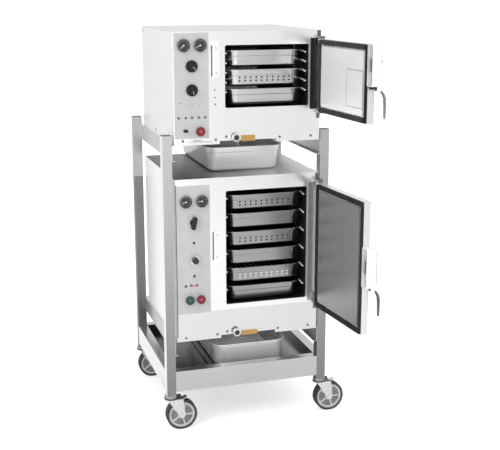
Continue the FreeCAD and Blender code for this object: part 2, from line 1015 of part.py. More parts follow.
# dial gauges: a case with a raised bezel and a sunk face
def gauge_cases():
    pieces = []
    for level in LEVELS:
        for count in range(2):
            name = "%s_gauge_%d" % (level, count)
            case = turned(
                name,
                (
                    ("0", "0"),
                    ("gauge_radius", "0"),
                    ("gauge_radius", "gauge_depth"),
                    ("gauge_radius - gauge_bezel", "gauge_depth"),
                    ("gauge_radius - gauge_bezel", "gauge_depth - gauge_recess"),
                    ("0", "gauge_depth - gauge_recess"),
                ),
            )
            across = "gauge_left + %d * gauge_pitch" % count
            rise = level + "_gauge_rise"
            pieces.append(place(case, on_front(level, across, rise, "overlay_thick"), FACE_OUT))
    node("gauge_cases", group("gauge_cases", pieces))


# clockwise turn, as seen from the front, of a piece that points up at zero
def facing(turn):
    return FACE_OUT.multiply(Rotation(Vector(0, 0, 1), -number(turn)))


# a round skirt with a raised grip that ends in a point
def pointer_knob(name, level, across, rise, turn):
    skirt = turned(
        name + "_skirt",
        (
            ("0", "0"),
            ("pointer_knob_radius", "0"),
            ("pointer_knob_radius", "pointer_knob_skirt"),
            ("0", "pointer_knob_skirt"),
        ),
    )
    body, sketch = new_body(name + "_grip", "XY_Plane")
    outline(
        sketch,
        (
            ("-pointer_tail_width / 2", "-pointer_tail_reach"),
            ("pointer_tail_width / 2", "-pointer_tail_reach"),
            ("pointer_grip_width / 2", "pointer_shoulder"),
            ("0", "pointer_tip_reach"),
            ("-pointer_grip_width / 2", "pointer_shoulder"),
        ),
    )
    pad(body, sketch, "pointer_knob_height")
    knob = fuse(name, [skirt, body])
    at = on_front(level, across, rise, "overlay_thick + control_gap")
    node(name, place(knob, at, facing(turn)))


# long bar grip over a small round foot
def selector_knob(name):
    foot = turned(
        name + "_foot",
        (
            ("0", "0"),
            ("selector_radius", "0"),
            ("selector_radius", "selector_skirt"),
            ("0", "selector_skirt"),
        ),
    )
    body, sketch = new_body(name + "_bar", "XY_Plane")
    round_outline(
        sketch,
        "-selector_width / 2",
        "-selector_length / 2",
        "selector_width",
        "selector_length",
        "selector_corner",
    )
    pad(body, sketch, "selector_height - selector_skirt")
    place(body, ("0", "0", "selector_skirt"))
    knob = fuse(name, [foot, body])
    at = on_front("lower", "selector_left", "selector_rise", "overlay_thick + control_gap")
    node(name, place(knob, at, facing("selector_turn")))


# bright skirt with a narrower black grip
def dial_knob(name):
    knob = turned(
        name,
        (
            ("0", "0"),
            ("dial_skirt_radius", "0"),
            ("dial_skirt_radius", "dial_skirt"),
            ("dial_grip_radius", "dial_skirt"),
            ("dial_grip_radius", "dial_height"),
            ("0", "dial_height"),
        ),
    )
    at = on_front("lower", "dial_left", "dial_rise", "overlay_thick + control_gap")
    node(name, place(knob, at, FACE_OUT))


# mushroom button: its stem slides in the ring on the overlay
def push_button(name, level, across, rise):
    foot = "button_stroke + button_end_gap"
    reach = "button_bezel_depth + " + foot
    button = turned(
        name,
        (
            ("0", foot),
            ("button_stem_radius", foot),
            ("button_stem_radius", reach),
            ("button_cap_radius", reach),
            ("button_cap_radius", reach + " + button_cap_depth"),
            ("0", reach + " + button_cap_depth"),
        ),
    )
    node(name, place(button, on_front(level, across, rise, "overlay_thick"), FACE_OUT))


# toggle lever: an eye on the yoke's pin and a paddle that widens towards its tip
def power_switch(name):
    height = "(2 * (switch_cheek_reach - switch_cheek_thick - control_gap))"
    eye = rod(
        name + "_eye",
        ("0", "0", "-%s / 2" % height),
        "switch_pivot_radius + switch_eye_wall",
        height,
    )
    paddle, sketch = new_body(name + "_paddle", "XY_Plane")
    outline(
        sketch,
        (
            ("-switch_lever_root / 2", "0"),
            ("-switch_lever_tip / 2", "-switch_lever_length"),
            ("switch_lever_tip / 2", "-switch_lever_length"),
            ("switch_lever_root / 2", "0"),
        ),
    )
    pad(paddle, sketch, "switch_lever_width", True)
    bore = rod(
        name + "_bore",
        ("0", "0", "-" + height),
        "switch_pivot_radius + running_clearance",
        "2 * " + height,
    )
    lever = cut(name, fuse(name + "_blank", [eye, paddle]), [bore])
    at = on_front("upper", "switch_left", "switch_rise", "overlay_thick + switch_pivot_forward")
    node(name, place(lever, at))


# drain valve knob on its stem, low on the front panel
def drain_knob(level):
    name = level + "_drain_knob"
    knob = turned(
        name,
        (
            ("0", "0"),
            ("drain_stem_radius", "0"),
            ("drain_stem_radius", "drain_stem_length"),
            ("drain_knob_radius", "drain_stem_length"),
            ("drain_knob_radius", "drain_stem_length + drain_knob_depth"),
            ("0", "drain_stem_length + drain_knob_depth"),
        ),
    )
    at = on_front(level, "drain_left", level + "_drain_rise", "control_gap")
    node(name, place(knob, at, FACE_OUT))


# a rectangle with rounded corners about the pan's centre line, front edge at zero
def pan_ring(inset, corner, height):
    half = number("pan_width") / 2 - inset
    front = inset
    back = number("pan_length") - inset
    near = (
        (half, front, 0),
        (half, back, 90),
        (-half, back, 180),
        (-half, front, 270),
    )
    edges = []
    ends = []
    for x, y, start in near:
        centre = Vector(x - math.copysign(corner, x), y + (corner if y == front else -corner), height)
        first = math.radians(start - 90)
        arc = Part.Arc(
            centre + Vector(corner * math.cos(first), corner * math.sin(first), 0),
            centre + Vector(corner * math.cos(first + math.pi / 4), corner * math.sin(first + math.pi / 4), 0),
            centre + Vector(corner * math.cos(first + math.pi / 2), corner * math.sin(first + math.pi / 2), 0),
        )
        ends.append(arc)
    for count, arc in enumerate(ends):
        following = ends[(count + 1) % 4]
        edges.append(arc.toShape())
        edges.append(Part.LineSegment(arc.EndPoint, following.StartPoint).toShape())
    return Part.Wire(edges)


# steam table pan: tapered walls with large corners under a flat rim with a turned-down lip
def pan(name, depth_name, at):
    depth = number(depth_name)
    flange = number("pan_flange")
    taper = number("pan_taper") * depth / number("pan_depth")
    sheet_thick = number("pan_sheet")
    corner = number("pan_corner")
    rim_corner = number("pan_rim_corner")
    lip = number("pan_rim_lip")

    def tub(extra, height):
        top = pan_ring(flange + extra, corner - extra, height)
        bottom = pan_ring(flange + taper + extra, corner - extra, extra - depth)
        return Part.makeLoft([top, bottom], True, True)

    outer = tub(0, -sheet_thick / 2)
    inner = tub(sheet_thick, lip)
    slab = Part.Face(pan_ring(0, rim_corner, -lip)).extrude(Vector(0, 0, lip))
    under = Part.Face(pan_ring(sheet_thick, rim_corner - sheet_thick, -2 * lip)).extrude(
        Vector(0, 0, 2 * lip - sheet_thick)
    )
    shape = slab.cut(under.cut(outer)).fuse(outer).cut(inner)
    item = doc.addObject("Part::Feature", name)
    item.Shape = shape.removeSplitter().Solids[0]
    node(name, place(item, at))


def pan_rise(level, count):
    return "%s_cabinet_bottom + %s_top_pan_rise - %d * %s_pan_pitch" % (level, level, count, level)


PAN_COUNTS = (("upper", 3), ("lower", 6))


def pans():
    for level, total in PAN_COUNTS:
        for count in range(total):
            pan(
                "%s_pan_%d" % (level, count + 1),
                "pan_depth",
                (CAVITY_CENTRE, FRONT + " + pan_setback", pan_rise(level, count)),
            )
    pan(
        "upper_drip_pan",
        "drip_pan_depth",
        (
            "upper_drip_offset",
            FRONT + " + upper_drip_setback",
            "lower_cabinet_bottom + lower_cabinet_height + drip_pan_depth + seat_gap",
        ),
    )
    pan(
        "lower_drip_pan",
        "drip_pan_depth",
        (
            "lower_drip_offset",
            FRONT + " + lower_drip_setback",
            "tray_floor_top + drip_pan_depth + seat_gap",
        ),
    )


# wire racks: two uprights a side that stand on the cavity floor, one runner a side per pan
def pan_racks():
    pieces = []
    wire = "rack_wire_radius"
    back = FRONT + " + panel_sheet + rack_setback"
    for level, total in PAN_COUNTS:
        floor = "(%s_cabinet_bottom + %s_opening_rise - liner_lip)" % (level, level)
        top = "%s + %s_opening_height + 2 * liner_lip - rack_post_margin" % (floor, level)
        for side, right in SIDES:
            runner_x = "%s + %d * (pan_width / 2 - rack_runner_inset)" % (CAVITY_CENTRE, right)
            post_x = "%s + %d * 2 * %s" % (runner_x, right, wire)
            for end, inset in (("front", "rack_post_inset"), ("rear", "rack_length - rack_post_inset")):
                pieces.append(
                    rod(
                        "rack_%s_%s_%s" % (level, side, end),
                        (post_x, "%s + %s" % (back, inset), floor),
                        wire,
                        "%s - %s" % (top, floor),
                    )
                )
            for count in range(total):
                pieces.append(
                    rod(
                        "runner_%s_%s_%d" % (level, side, count),
                        (
                            runner_x,
                            back,
                            "%s - pan_rim_lip - seat_gap - %s" % (pan_rise(level, count), wire),
                        ),
                        wire,
                        "rack_length",
                        ALONG_Y,
                    )
                )
    node("pan_racks", group("pan_racks", pieces))


HINGE = (
    "cabinet_width / 2 - hinge_inset",
    FRONT + " - hinge_forward",
    "0",
)
OPENING_FAR = "(-(opening_right - hinge_inset + opening_width))"
SHELL_LEFT = "(%s - door_margin)" % OPENING_FAR
DOOR_BACK = "(hinge_forward - door_back_gap)"


def opening_low(level):
    return "(%s_cabinet_bottom + %s_opening_rise)" % (level, level)


# every piece of a door is drawn closed, about the hinge axis, then turned open
def on_door(name, item):
    turn = Rotation(Vector(0, 0, 1), number("door_open_angle"))
    return node(name, place(item, HINGE, turn))


# door shell: a slab with rounded upright edges, a sunk back and an eye at each end of the hinge
def door_shell(level):
    name = level + "_door_shell"
    low = "(%s - door_margin)" % opening_low(level)
    height = "(%s_opening_height + 2 * door_margin)" % level
    slab = block(
        name + "_slab",
        (SHELL_LEFT, DOOR_BACK + " - door_thick", low),
        ("-door_edge_gap - " + SHELL_LEFT, "door_thick", height),
    )
    slab.recompute(True)
    front = number(DOOR_BACK + " - door_thick")
    soft = rounded(
        name + "_soft", slab, Vector(0, 0, 1), "door_corner", lambda at: abs(at.y - front) < NEAR
    )
    recess = block(
        name + "_recess",
        (
            OPENING_FAR,
            DOOR_BACK + " - door_recess",
            opening_low(level),
        ),
        ("opening_width", "2 * door_recess", level + "_opening_height"),
    )
    leaf_width = "(door_edge_gap + door_corner)"
    pieces = [cut(name + "_dished", soft, [recess])]
    bores = []
    for tag, start in (("low", low), ("high", "%s + %s - hinge_eye_height" % (low, height))):
        pieces.append(
            rod(name + "_eye_" + tag, ("0", "0", start), "hinge_eye_radius", "hinge_eye_height")
        )
        pieces.append(
            block(
                name + "_leaf_" + tag,
                ("-" + leaf_width, "-hinge_leaf_thick / 2", start),
                (leaf_width, "hinge_leaf_thick", "hinge_eye_height"),
            )
        )
        bores.append(
            rod(
                name + "_bore_" + tag,
                ("0", "0", start + " - hinge_eye_height"),
                "hinge_pin_radius + running_clearance",
                "3 * hinge_eye_height",
            )
        )
    on_door(name, cut(name, fuse(name + "_blank", pieces), bores))


# inner panel with a shallow access plate on the upper door
def door_liner(level):
    name = level + "_door_liner"
    body, sketch = new_body(name + "_sheet", "XZ_Plane")
    round_outline(
        sketch,
        OPENING_FAR + " + door_liner_inset",
        opening_low(level) + " + door_liner_inset",
        "opening_width - 2 * door_liner_inset",
        level + "_opening_height - 2 * door_liner_inset",
        "gasket_corner",
    )
    pad(body, sketch, "door_recess + door_liner_rise")
    place(body, ("0", DOOR_BACK + " + door_liner_rise", "0"))
    pieces = [body]
    if level == "upper":
        pieces.append(
            block(
                name + "_access",
                (
                    OPENING_FAR + " + door_liner_inset",
                    DOOR_BACK + " + door_liner_rise",
                    opening_low(level) + " + access_rise",
                ),
                ("access_width", "access_thick", "access_height"),
            )
        )
    on_door(name, fuse(name, pieces) if len(pieces) > 1 else group(name, pieces))


# gasket: a soft frame that stands proud of the door's back and meets the front panel
def door_gasket(level):
    name = level + "_door_gasket"
    body, sketch = new_body(name, "XZ_Plane")
    round_outline(
        sketch,
        OPENING_FAR + " - gasket_margin",
        opening_low(level) + " - gasket_margin",
        "opening_width + 2 * gasket_margin",
        level + "_opening_height + 2 * gasket_margin",
        "gasket_corner + gasket_width",
    )
    inner = "(gasket_width - gasket_margin)"
    round_outline(
        sketch,
        OPENING_FAR + " + " + inner,
        opening_low(level) + " + " + inner,
        "opening_width - 2 * " + inner,
        "%s_opening_height - 2 * %s" % (level, inner),
        "gasket_corner",
    )
    pad(body, sketch, "door_back_gap - gasket_gap")
    place(body, ("0", "hinge_forward - gasket_gap", "0"))
    on_door(name, group(name, [body]))


def case_low(level):
    return "(%s + %s_case_rise)" % (opening_low(level), level)


# fixed hinge lugs on the front panel, with the pins that the door's eyes turn on
def hinge_brackets():
    pieces = []
    for level in LEVELS:
        low = "(%s - door_margin)" % opening_low(level)
        high = "(%s + %s_opening_height + door_margin)" % (opening_low(level), level)
        for tag, face, up in (("low", low, -1), ("high", high, 1)):
            name = "hinge_%s_%s" % (level, tag)
            x, y, z = HINGE
            if up < 0:
                lug_low = face + " - hinge_lug_gap - hinge_lug_height"
                pin_low = lug_low
                plate_low = face + " - hinge_lug_gap - hinge_plate_height"
            else:
                lug_low = face + " + hinge_lug_gap"
                pin_low = face + " - hinge_pin_engage"
                plate_low = face + " + hinge_lug_gap"
            lug = block(
                name + "_lug",
                (x + " - hinge_eye_radius", y, lug_low),
                ("hinge_eye_radius + hinge_inset", "hinge_forward", "hinge_lug_height"),
            )
            nose = rod(name + "_nose", (x, y, lug_low), "hinge_eye_radius", "hinge_lug_height")
            pin = rod(
                name + "_pin",
                (x, y, pin_low),
                "hinge_pin_radius",
                "hinge_lug_height + hinge_lug_gap + hinge_pin_engage",
            )
            plate = block(
                name + "_plate",
                (x + " - hinge_eye_radius", y + " + hinge_forward - hinge_plate_thick", plate_low),
                ("hinge_eye_radius + hinge_inset", "hinge_plate_thick", "hinge_plate_height"),
            )
            pieces.append(fuse(name, [lug, nose, pin, plate]))
    node("hinge_brackets", group("hinge_brackets", pieces))


CASE_LEFT = "(%s - case_width)" % SHELL_LEFT
CASE_BACK = "(hinge_forward - case_back_gap)"
PIVOT_Y = "(%s - handle_pivot_depth)" % CASE_BACK


def handle_pivot(level):
    return "(%s - handle_pivot_drop)" % case_low(level)


# latch case: a cover open towards the cabinet, the hook's pin inside, two ears for the handle below
def latch_case(level):
    name = level + "_latch_case"
    low = case_low(level)
    height = level + "_case_height"
    outer = block(
        name + "_outer",
        (CASE_LEFT, CASE_BACK + " - case_depth", low),
        ("case_width", "case_depth", height),
    )
    outer.recompute(True)
    front = number(CASE_BACK + " - case_depth")
    soft = rounded(
        name + "_soft", outer, Vector(0, 0, 1), "case_corner", lambda at: abs(at.y - front) < NEAR
    )
    pocket = block(
        name + "_pocket",
        (
            CASE_LEFT + " + case_wall",
            CASE_BACK + " - case_depth + case_wall",
            low + " + case_wall",
        ),
        ("case_width - 2 * case_wall", "case_depth", height + " - 2 * case_wall"),
    )
    cover = cut(name + "_cover", soft, [pocket])
    pin = rod(
        name + "_pin",
        (
            "%s - hook_pivot_inset" % SHELL_LEFT,
            CASE_BACK + " - hook_pivot_depth",
            low + " + case_wall / 2",
        ),
        "hook_pin_radius",
        height + " - case_wall",
    )
    pieces = [cover, pin]
    middle = CASE_LEFT + " + case_width / 2"
    pivot = handle_pivot(level)
    half = "(handle_eye_width / 2 + ear_gap)"
    for tag, x in (("near", "%s - %s - ear_thick" % (middle, half)), ("far", "%s + %s" % (middle, half))):
        pieces.append(
            block(
                name + "_ear_" + tag,
                (x, PIVOT_Y + " - ear_radius", pivot),
                ("ear_thick", "2 * ear_radius", "handle_pivot_drop + case_wall"),
            )
        )
        pieces.append(
            rod(
                name + "_ear_end_" + tag,
                (x, PIVOT_Y, pivot),
                "ear_radius",
                "ear_thick",
                ALONG_X,
            )
        )
    pieces.append(
        rod(
            name + "_handle_pin",
            ("%s - %s - ear_thick" % (middle, half), PIVOT_Y, pivot),
            "handle_pin_radius",
            "2 * (%s + ear_thick)" % half,
            ALONG_X,
        )
    )
    on_door(name, fuse(name, pieces))


# lever handle: an eye on the pin, an arm that comes forward and a grip that hangs down
def latch_handle(level):
    name = level + "_latch_handle"
    body, sketch = new_body(name + "_arm", "YZ_Plane")
    outline(
        sketch,
        (
            ("handle_root_lean", "-handle_root_half"),
            ("-handle_root_lean", "handle_root_half"),
            ("-handle_shoulder_reach", "-handle_shoulder_drop"),
            ("-handle_bend_reach", "-handle_bend_drop"),
            ("-handle_tip_reach", "-handle_length"),
            ("handle_thick - handle_tip_reach", "-handle_length"),
            ("handle_thick - handle_bend_reach", "-handle_inner_drop"),
            ("-handle_crook_reach", "-handle_crook_drop"),
        ),
    )
    pad(body, sketch, "handle_width", True)
    body.recompute(True)
    doc.recompute()
    soft = rounded(
        name + "_soft",
        body,
        Vector(1, 0, 0),
        "handle_round",
        lambda at: at.y < number("-handle_shoulder_reach / 2"),
    )
    eye = rod(
        name + "_eye",
        ("-handle_eye_width / 2", "0", "0"),
        "handle_eye_radius",
        "handle_eye_width",
        ALONG_X,
    )
    bore = rod(
        name + "_bore",
        ("-handle_eye_width", "0", "0"),
        "handle_pin_radius + running_clearance",
        "2 * handle_eye_width",
        ALONG_X,
    )
    lever = cut(name + "_lever", fuse(name + "_blank", [soft, eye]), [bore])
    place(lever, (CASE_LEFT + " + case_width / 2", PIVOT_Y, handle_pivot(level)))
    on_door(name, group(name, [lever]))


# latch hook: an eye on the upright pin and a nose that reaches behind the strike's bead
def latch_hook(level):
    name = level + "_latch_hook"
    body, sketch = new_body(name + "_plate", "XY_Plane")
    outline(
        sketch,
        (
            ("-hook_nose_reach", "hook_arm_inner"),
            ("-hook_nose_open", "hook_arm_inner"),
            ("-hook_nose_open", "hook_root_forward"),
            ("-hook_root_half", "-hook_root_half"),
            ("hook_root_half", "-hook_root_half"),
            ("hook_root_half", "hook_root_forward"),
            ("0", "hook_arm_outer"),
            ("-hook_nose_reach", "hook_arm_outer"),
        ),
    )
    pad(body, sketch, "hook_height")
    eye = rod(name + "_eye", ("0", "0", "0"), "hook_eye_radius", "hook_height")
    bore = rod(
        name + "_bore",
        ("0", "0", "-hook_height"),
        "hook_pin_radius + running_clearance",
        "3 * hook_height",
    )
    hook = cut(name + "_hook", fuse(name + "_blank", [body, eye]), [bore])
    place(
        hook,
        (
            "%s - hook_pivot_inset" % SHELL_LEFT,
            CASE_BACK + " - hook_pivot_depth",
            "%s + %s_case_height / 2 - hook_height / 2" % (case_low(level), level),
        ),
    )
    on_door(name, group(name, [hook]))


# strike on the front panel: a plate, and a lip whose bead the hook holds
def latch_strikes():
    pieces = []
    for level in LEVELS:
        name = "strike_" + level
        x = "%s + %s - strike_side_step" % (HINGE[0], CASE_LEFT)
        low = "%s + strike_inset" % case_low(level)
        plate = block(
            name + "_plate",
            (x, FRONT + " - strike_thick", low),
            ("strike_width", "strike_thick", "strike_length"),
        )
        lip = block(
            name + "_lip",
            (x + " + strike_lip_inset", FRONT + " - strike_lip_reach", low),
            ("strike_lip_thick", "strike_lip_reach", "strike_length"),
        )
        bead = block(
            name + "_bead",
            (x + " + strike_lip_inset", FRONT + " - strike_lip_reach", low),
            ("strike_bead_width", "strike_bead_thick", "strike_length"),
        )
        pieces.append(fuse(name, [plate, lip, bead]))
    node("latch_strikes", group("latch_strikes", pieces))


def build():
    stand_posts()
    stand_rails()
    bottom_tray()
    casters()
    for level in LEVELS:
        casing(level)
        front_panel(level)
        cavity_liner(level)
    bases_and_backs()
    control_overlays()
    gauge_cases()
    latch_strikes()
    hinge_brackets()
    pan_racks()
    pointer_knob("upper_timer_knob", "upper", "upper_knob_left", "upper_timer_rise", "upper_timer_turn")
    pointer_knob("upper_mode_knob", "upper", "upper_knob_left", "upper_mode_rise", "upper_mode_turn")
    power_switch("upper_power_switch")
    push_button("upper_stop_button", "upper", "upper_stop_left", "upper_stop_rise")
    selector_knob("lower_selector_knob")
    dial_knob("lower_timer_knob")
    push_button("lower_start_button", "lower", "lower_start_left", "lower_button_rise")
    push_button("lower_stop_button", "lower", "lower_stop_left", "lower_button_rise")
    pans()
    for level in LEVELS:
        drain_knob(level)
        door_shell(level)
        door_liner(level)
        door_gasket(level)
        latch_case(level)
        latch_handle(level)
        latch_hook(level)


build()
doc.recompute()

for item in doc.Objects:
    if "Invalid" in item.State or "Error" in item.State:
        raise RuntimeError("%s failed to compute" % item.Name)
for name, item in NODES:
    if item.Shape.isNull() or not item.Shape.isValid() or not item.Shape.Solids:
        raise RuntimeError("%s has no valid solid" % name)

os.makedirs("parts", exist_ok=True)
for name, item in NODES:
    item.Shape.exportStep("parts/%s.step" % name)
print(len(NODES), "sub-parts written")
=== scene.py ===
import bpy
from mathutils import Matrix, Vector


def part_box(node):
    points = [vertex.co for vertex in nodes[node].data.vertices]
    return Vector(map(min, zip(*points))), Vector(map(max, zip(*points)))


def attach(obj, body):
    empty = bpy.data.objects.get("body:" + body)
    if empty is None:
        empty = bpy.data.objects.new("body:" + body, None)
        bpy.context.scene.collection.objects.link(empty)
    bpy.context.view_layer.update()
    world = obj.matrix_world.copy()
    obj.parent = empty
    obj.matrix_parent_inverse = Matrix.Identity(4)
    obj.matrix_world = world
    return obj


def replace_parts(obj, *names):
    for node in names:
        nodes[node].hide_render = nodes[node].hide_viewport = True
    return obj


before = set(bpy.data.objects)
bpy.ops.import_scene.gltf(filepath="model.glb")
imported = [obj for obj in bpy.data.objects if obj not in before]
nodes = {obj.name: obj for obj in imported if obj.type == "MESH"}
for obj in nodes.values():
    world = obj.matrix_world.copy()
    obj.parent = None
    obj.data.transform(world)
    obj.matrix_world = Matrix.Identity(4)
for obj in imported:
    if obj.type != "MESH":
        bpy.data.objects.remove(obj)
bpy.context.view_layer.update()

import bmesh
import bpy
import math
import random

from mathutils import Matrix, Vector

print("steamer frame loaded:", len(nodes), "CAD nodes")


def startGroup(title, inputs, outputs):
    group = bpy.data.node_groups.new(title, "ShaderNodeTree")
    for socketName, kind, value in inputs:
        socket = group.interface.new_socket(socketName, in_out="INPUT", socket_type=kind)
        socket.default_value = value
    for socketName, kind in outputs:
        group.interface.new_socket(socketName, in_out="OUTPUT", socket_type=kind)
    start = group.nodes.new("NodeGroupInput")
    finish = group.nodes.new("NodeGroupOutput")
    return group, start, finish


def mathNode(tree, operation, *values, clamp=False):
    node = tree.nodes.new("ShaderNodeMath")
    node.operation = operation
    node.use_clamp = clamp
    for socket, value in zip(node.inputs, values):
        if isinstance(value, (int, float)):
            socket.default_value = value
        else:
            tree.links.new(value, socket)
    return node.outputs[0]


def vectorNode(tree, operation, *values):
    node = tree.nodes.new("ShaderNodeVectorMath")
    node.operation = operation
    for socket, value in zip(node.inputs, values):
        tree.links.new(value, socket)
    return node


# long fine scratches left by the polishing belt, along one direction
def makeBrushedGrain():
    group, start, finish = startGroup(
        "brushedGrain",
        [("Stretch", "NodeSocketVector", (1, 1, 1)), ("Scale", "NodeSocketFloat", 40.0)],
        [("Grain", "NodeSocketFloat")],
    )
    place = group.nodes.new("ShaderNodeTexCoord")
    squeeze = vectorNode(group, "MULTIPLY", place.outputs["Object"], start.outputs["Stretch"])
    noise = group.nodes.new("ShaderNodeTexNoise")
    noise.inputs["Detail"].default_value = 3
    noise.inputs["Roughness"].default_value = 0.6
    group.links.new(squeeze.outputs[0], noise.inputs["Vector"])
    group.links.new(start.outputs["Scale"], noise.inputs["Scale"])
    group.links.new(noise.outputs["Fac"], finish.inputs["Grain"])
    return group


# broad cloudy marks from wiping and handling
def makeHandMarks():
    group, start, finish = startGroup(
        "handMarks",
        [("Scale", "NodeSocketFloat", 4.0), ("Contrast", "NodeSocketFloat", 1.0)],
        [("Marks", "NodeSocketFloat")],
    )
    place = group.nodes.new("ShaderNodeTexCoord")
    noise = group.nodes.new("ShaderNodeTexNoise")
    noise.inputs["Detail"].default_value = 4
    noise.inputs["Roughness"].default_value = 0.55
    noise.inputs["Distortion"].default_value = 0.4
    group.links.new(place.outputs["Object"], noise.inputs["Vector"])
    group.links.new(start.outputs["Scale"], noise.inputs["Scale"])
    centred = mathNode(group, "SUBTRACT", noise.outputs["Fac"], 0.5)
    spread = mathNode(group, "MULTIPLY", centred, start.outputs["Contrast"])
    group.links.new(mathNode(group, "ADD", spread, 0.5, clamp=True), finish.inputs["Marks"])
    return group


# one where the surface is nearer to a line through a point than a radius, else zero
def makeRoundMask():
    group, start, finish = startGroup(
        "roundMask",
        [
            ("Centre", "NodeSocketVector", (0, 0, 0)),
            ("Across", "NodeSocketVector", (1, 0, 1)),
            ("Radius", "NodeSocketFloat", 0.05),
        ],
        [("Inside", "NodeSocketFloat")],
    )
    place = group.nodes.new("ShaderNodeTexCoord")
    offset = vectorNode(group, "SUBTRACT", place.outputs["Object"], start.outputs["Centre"])
    flat = vectorNode(group, "MULTIPLY", offset.outputs[0], start.outputs["Across"])
    length = vectorNode(group, "LENGTH", flat.outputs[0])
    inside = mathNode(group, "LESS_THAN", length.outputs["Value"], start.outputs["Radius"])
    group.links.new(inside, finish.inputs["Inside"])
    return group


# one inside a box, falling off along Fade from the box's low corner, else zero
def makeBoxMask():
    group, start, finish = startGroup(
        "boxMask",
        [
            ("Low", "NodeSocketVector", (0, 0, 0)),
            ("High", "NodeSocketVector", (1, 1, 1)),
            ("Fade", "NodeSocketVector", (0, 0, 0)),
        ],
        [("Inside", "NodeSocketFloat")],
    )
    place = group.nodes.new("ShaderNodeTexCoord")
    low = start.outputs["Low"]
    offset = vectorNode(group, "SUBTRACT", place.outputs["Object"], low).outputs[0]
    reach = vectorNode(group, "SUBTRACT", start.outputs["High"], low).outputs[0]
    part = vectorNode(group, "DIVIDE", offset, reach).outputs[0]
    fall = vectorNode(group, "DOT_PRODUCT", part, start.outputs["Fade"]).outputs["Value"]
    split = group.nodes.new("ShaderNodeSeparateXYZ")
    group.links.new(part, split.inputs[0])
    inside = mathNode(group, "SUBTRACT", 1.0, fall, clamp=True)
    for axis in split.outputs:
        inside = mathNode(group, "MULTIPLY", inside, mathNode(group, "COMPARE", axis, 0.5, 0.5))
    group.links.new(inside, finish.inputs["Inside"])
    return group


brushedGrain = makeBrushedGrain()
boxMask = makeBoxMask()
handMarks = makeHandMarks()
roundMask = makeRoundMask()


def useGroup(tree, group, **values):
    node = tree.nodes.new("ShaderNodeGroup")
    node.node_tree = group
    for socketName, value in values.items():
        node.inputs[socketName].default_value = value
    return node.outputs[0]


def mixColours(tree, mask, first, second):
    mix = tree.nodes.new("ShaderNodeMix")
    mix.data_type = "RGBA"
    tree.links.new(mask, mix.inputs["Factor"])
    for socket, value in ((mix.inputs["A"], first), (mix.inputs["B"], second)):
        if isinstance(value, tuple):
            socket.default_value = (*value, 1)
        else:
            tree.links.new(value, socket)
    return mix.outputs["Result"]


def mixValues(tree, mask, first, second):
    ramp = tree.nodes.new("ShaderNodeMapRange")
    ramp.inputs["To Min"].default_value = first
    ramp.inputs["To Max"].default_value = second
    tree.links.new(mask, ramp.inputs["Value"])
    return ramp.outputs["Result"]


def bumpFrom(tree, height, strength, distance):
    bump = tree.nodes.new("ShaderNodeBump")
    bump.inputs["Strength"].default_value = strength
    bump.inputs["Distance"].default_value = distance
    tree.links.new(height, bump.inputs["Height"])
    return bump.outputs["Normal"]


def startMaterial(title):
    material = bpy.data.materials.new(title)
    material.use_nodes = True
    shader = material.node_tree.nodes["Principled BSDF"]
    return material, material.node_tree, shader


# one number for a grey, or a colour as it is
def grey(value):
    return value if isinstance(value, tuple) else (value, value, value)


# painted light and shade laid over parts of one sheet
def paintShading(tree, colour, zones):
    for low, high, shade, fade in zones:
        mask = useGroup(tree, boxMask, Low=low, High=high, Fade=fade)
        colour = mixColours(tree, mask, colour, grey(shade))
    return colour


# how far the cloudy marks and the grain shift a finish
metalSettings = {
    "cloudScale": 3.5, "contrast": 1.2, "rough": (0.8, 1.2), "cloudRough": 0.3, "grainDepth": 0.0004,
}
mouldedSettings = {"cloudScale": 18.0, "contrast": 1.6, "rough": (0.85, 1.15), "skinDepth": 0.0003}


# sheet or bar metal with a belt-polished grain and soft wiping marks
def metalFinish(title, tint, shade, roughness, metallic, stretch, grainScale=60.0, bump=0.06, zones=()):
    form = metalSettings
    material, tree, shader = startMaterial(title)
    grain = useGroup(tree, brushedGrain, Stretch=stretch, Scale=grainScale)
    cloud = useGroup(tree, handMarks, Scale=form["cloudScale"], Contrast=form["contrast"])
    colour = mixColours(tree, cloud, grey(tint), grey(shade))
    tree.links.new(paintShading(tree, colour, zones), shader.inputs["Base Color"])
    rough = mixValues(tree, grain, roughness * form["rough"][0], roughness * form["rough"][1])
    spread = mathNode(tree, "ADD", rough, mathNode(tree, "MULTIPLY", cloud, roughness * form["cloudRough"]))
    tree.links.new(spread, shader.inputs["Roughness"])
    shader.inputs["Metallic"].default_value = metallic
    tree.links.new(bumpFrom(tree, grain, bump, form["grainDepth"]), shader.inputs["Normal"])
    return material


# moulded plastic or rubber with a fine skin
def mouldedFinish(title, tint, shade, roughness, coat=0.0, grainScale=900.0, bump=0.1, zones=()):
    form = mouldedSettings
    material, tree, shader = startMaterial(title)
    skin = useGroup(tree, handMarks, Scale=grainScale, Contrast=1.0)
    cloud = useGroup(tree, handMarks, Scale=form["cloudScale"], Contrast=form["contrast"])
    colour = mixColours(tree, cloud, grey(tint), grey(shade))
    tree.links.new(paintShading(tree, colour, zones), shader.inputs["Base Color"])
    rough = mixValues(tree, cloud, roughness * form["rough"][0], roughness * form["rough"][1])
    tree.links.new(rough, shader.inputs["Roughness"])
    shader.inputs["Coat Weight"].default_value = coat
    tree.links.new(bumpFrom(tree, skin, bump, form["skinDepth"]), shader.inputs["Normal"])
    return material


alongX = (0.02, 1, 1)
alongY = (1, 0.02, 1)
alongZ = (1, 1, 0.02)
anyWay = (1, 1, 1)

even = (0, 0, 0)
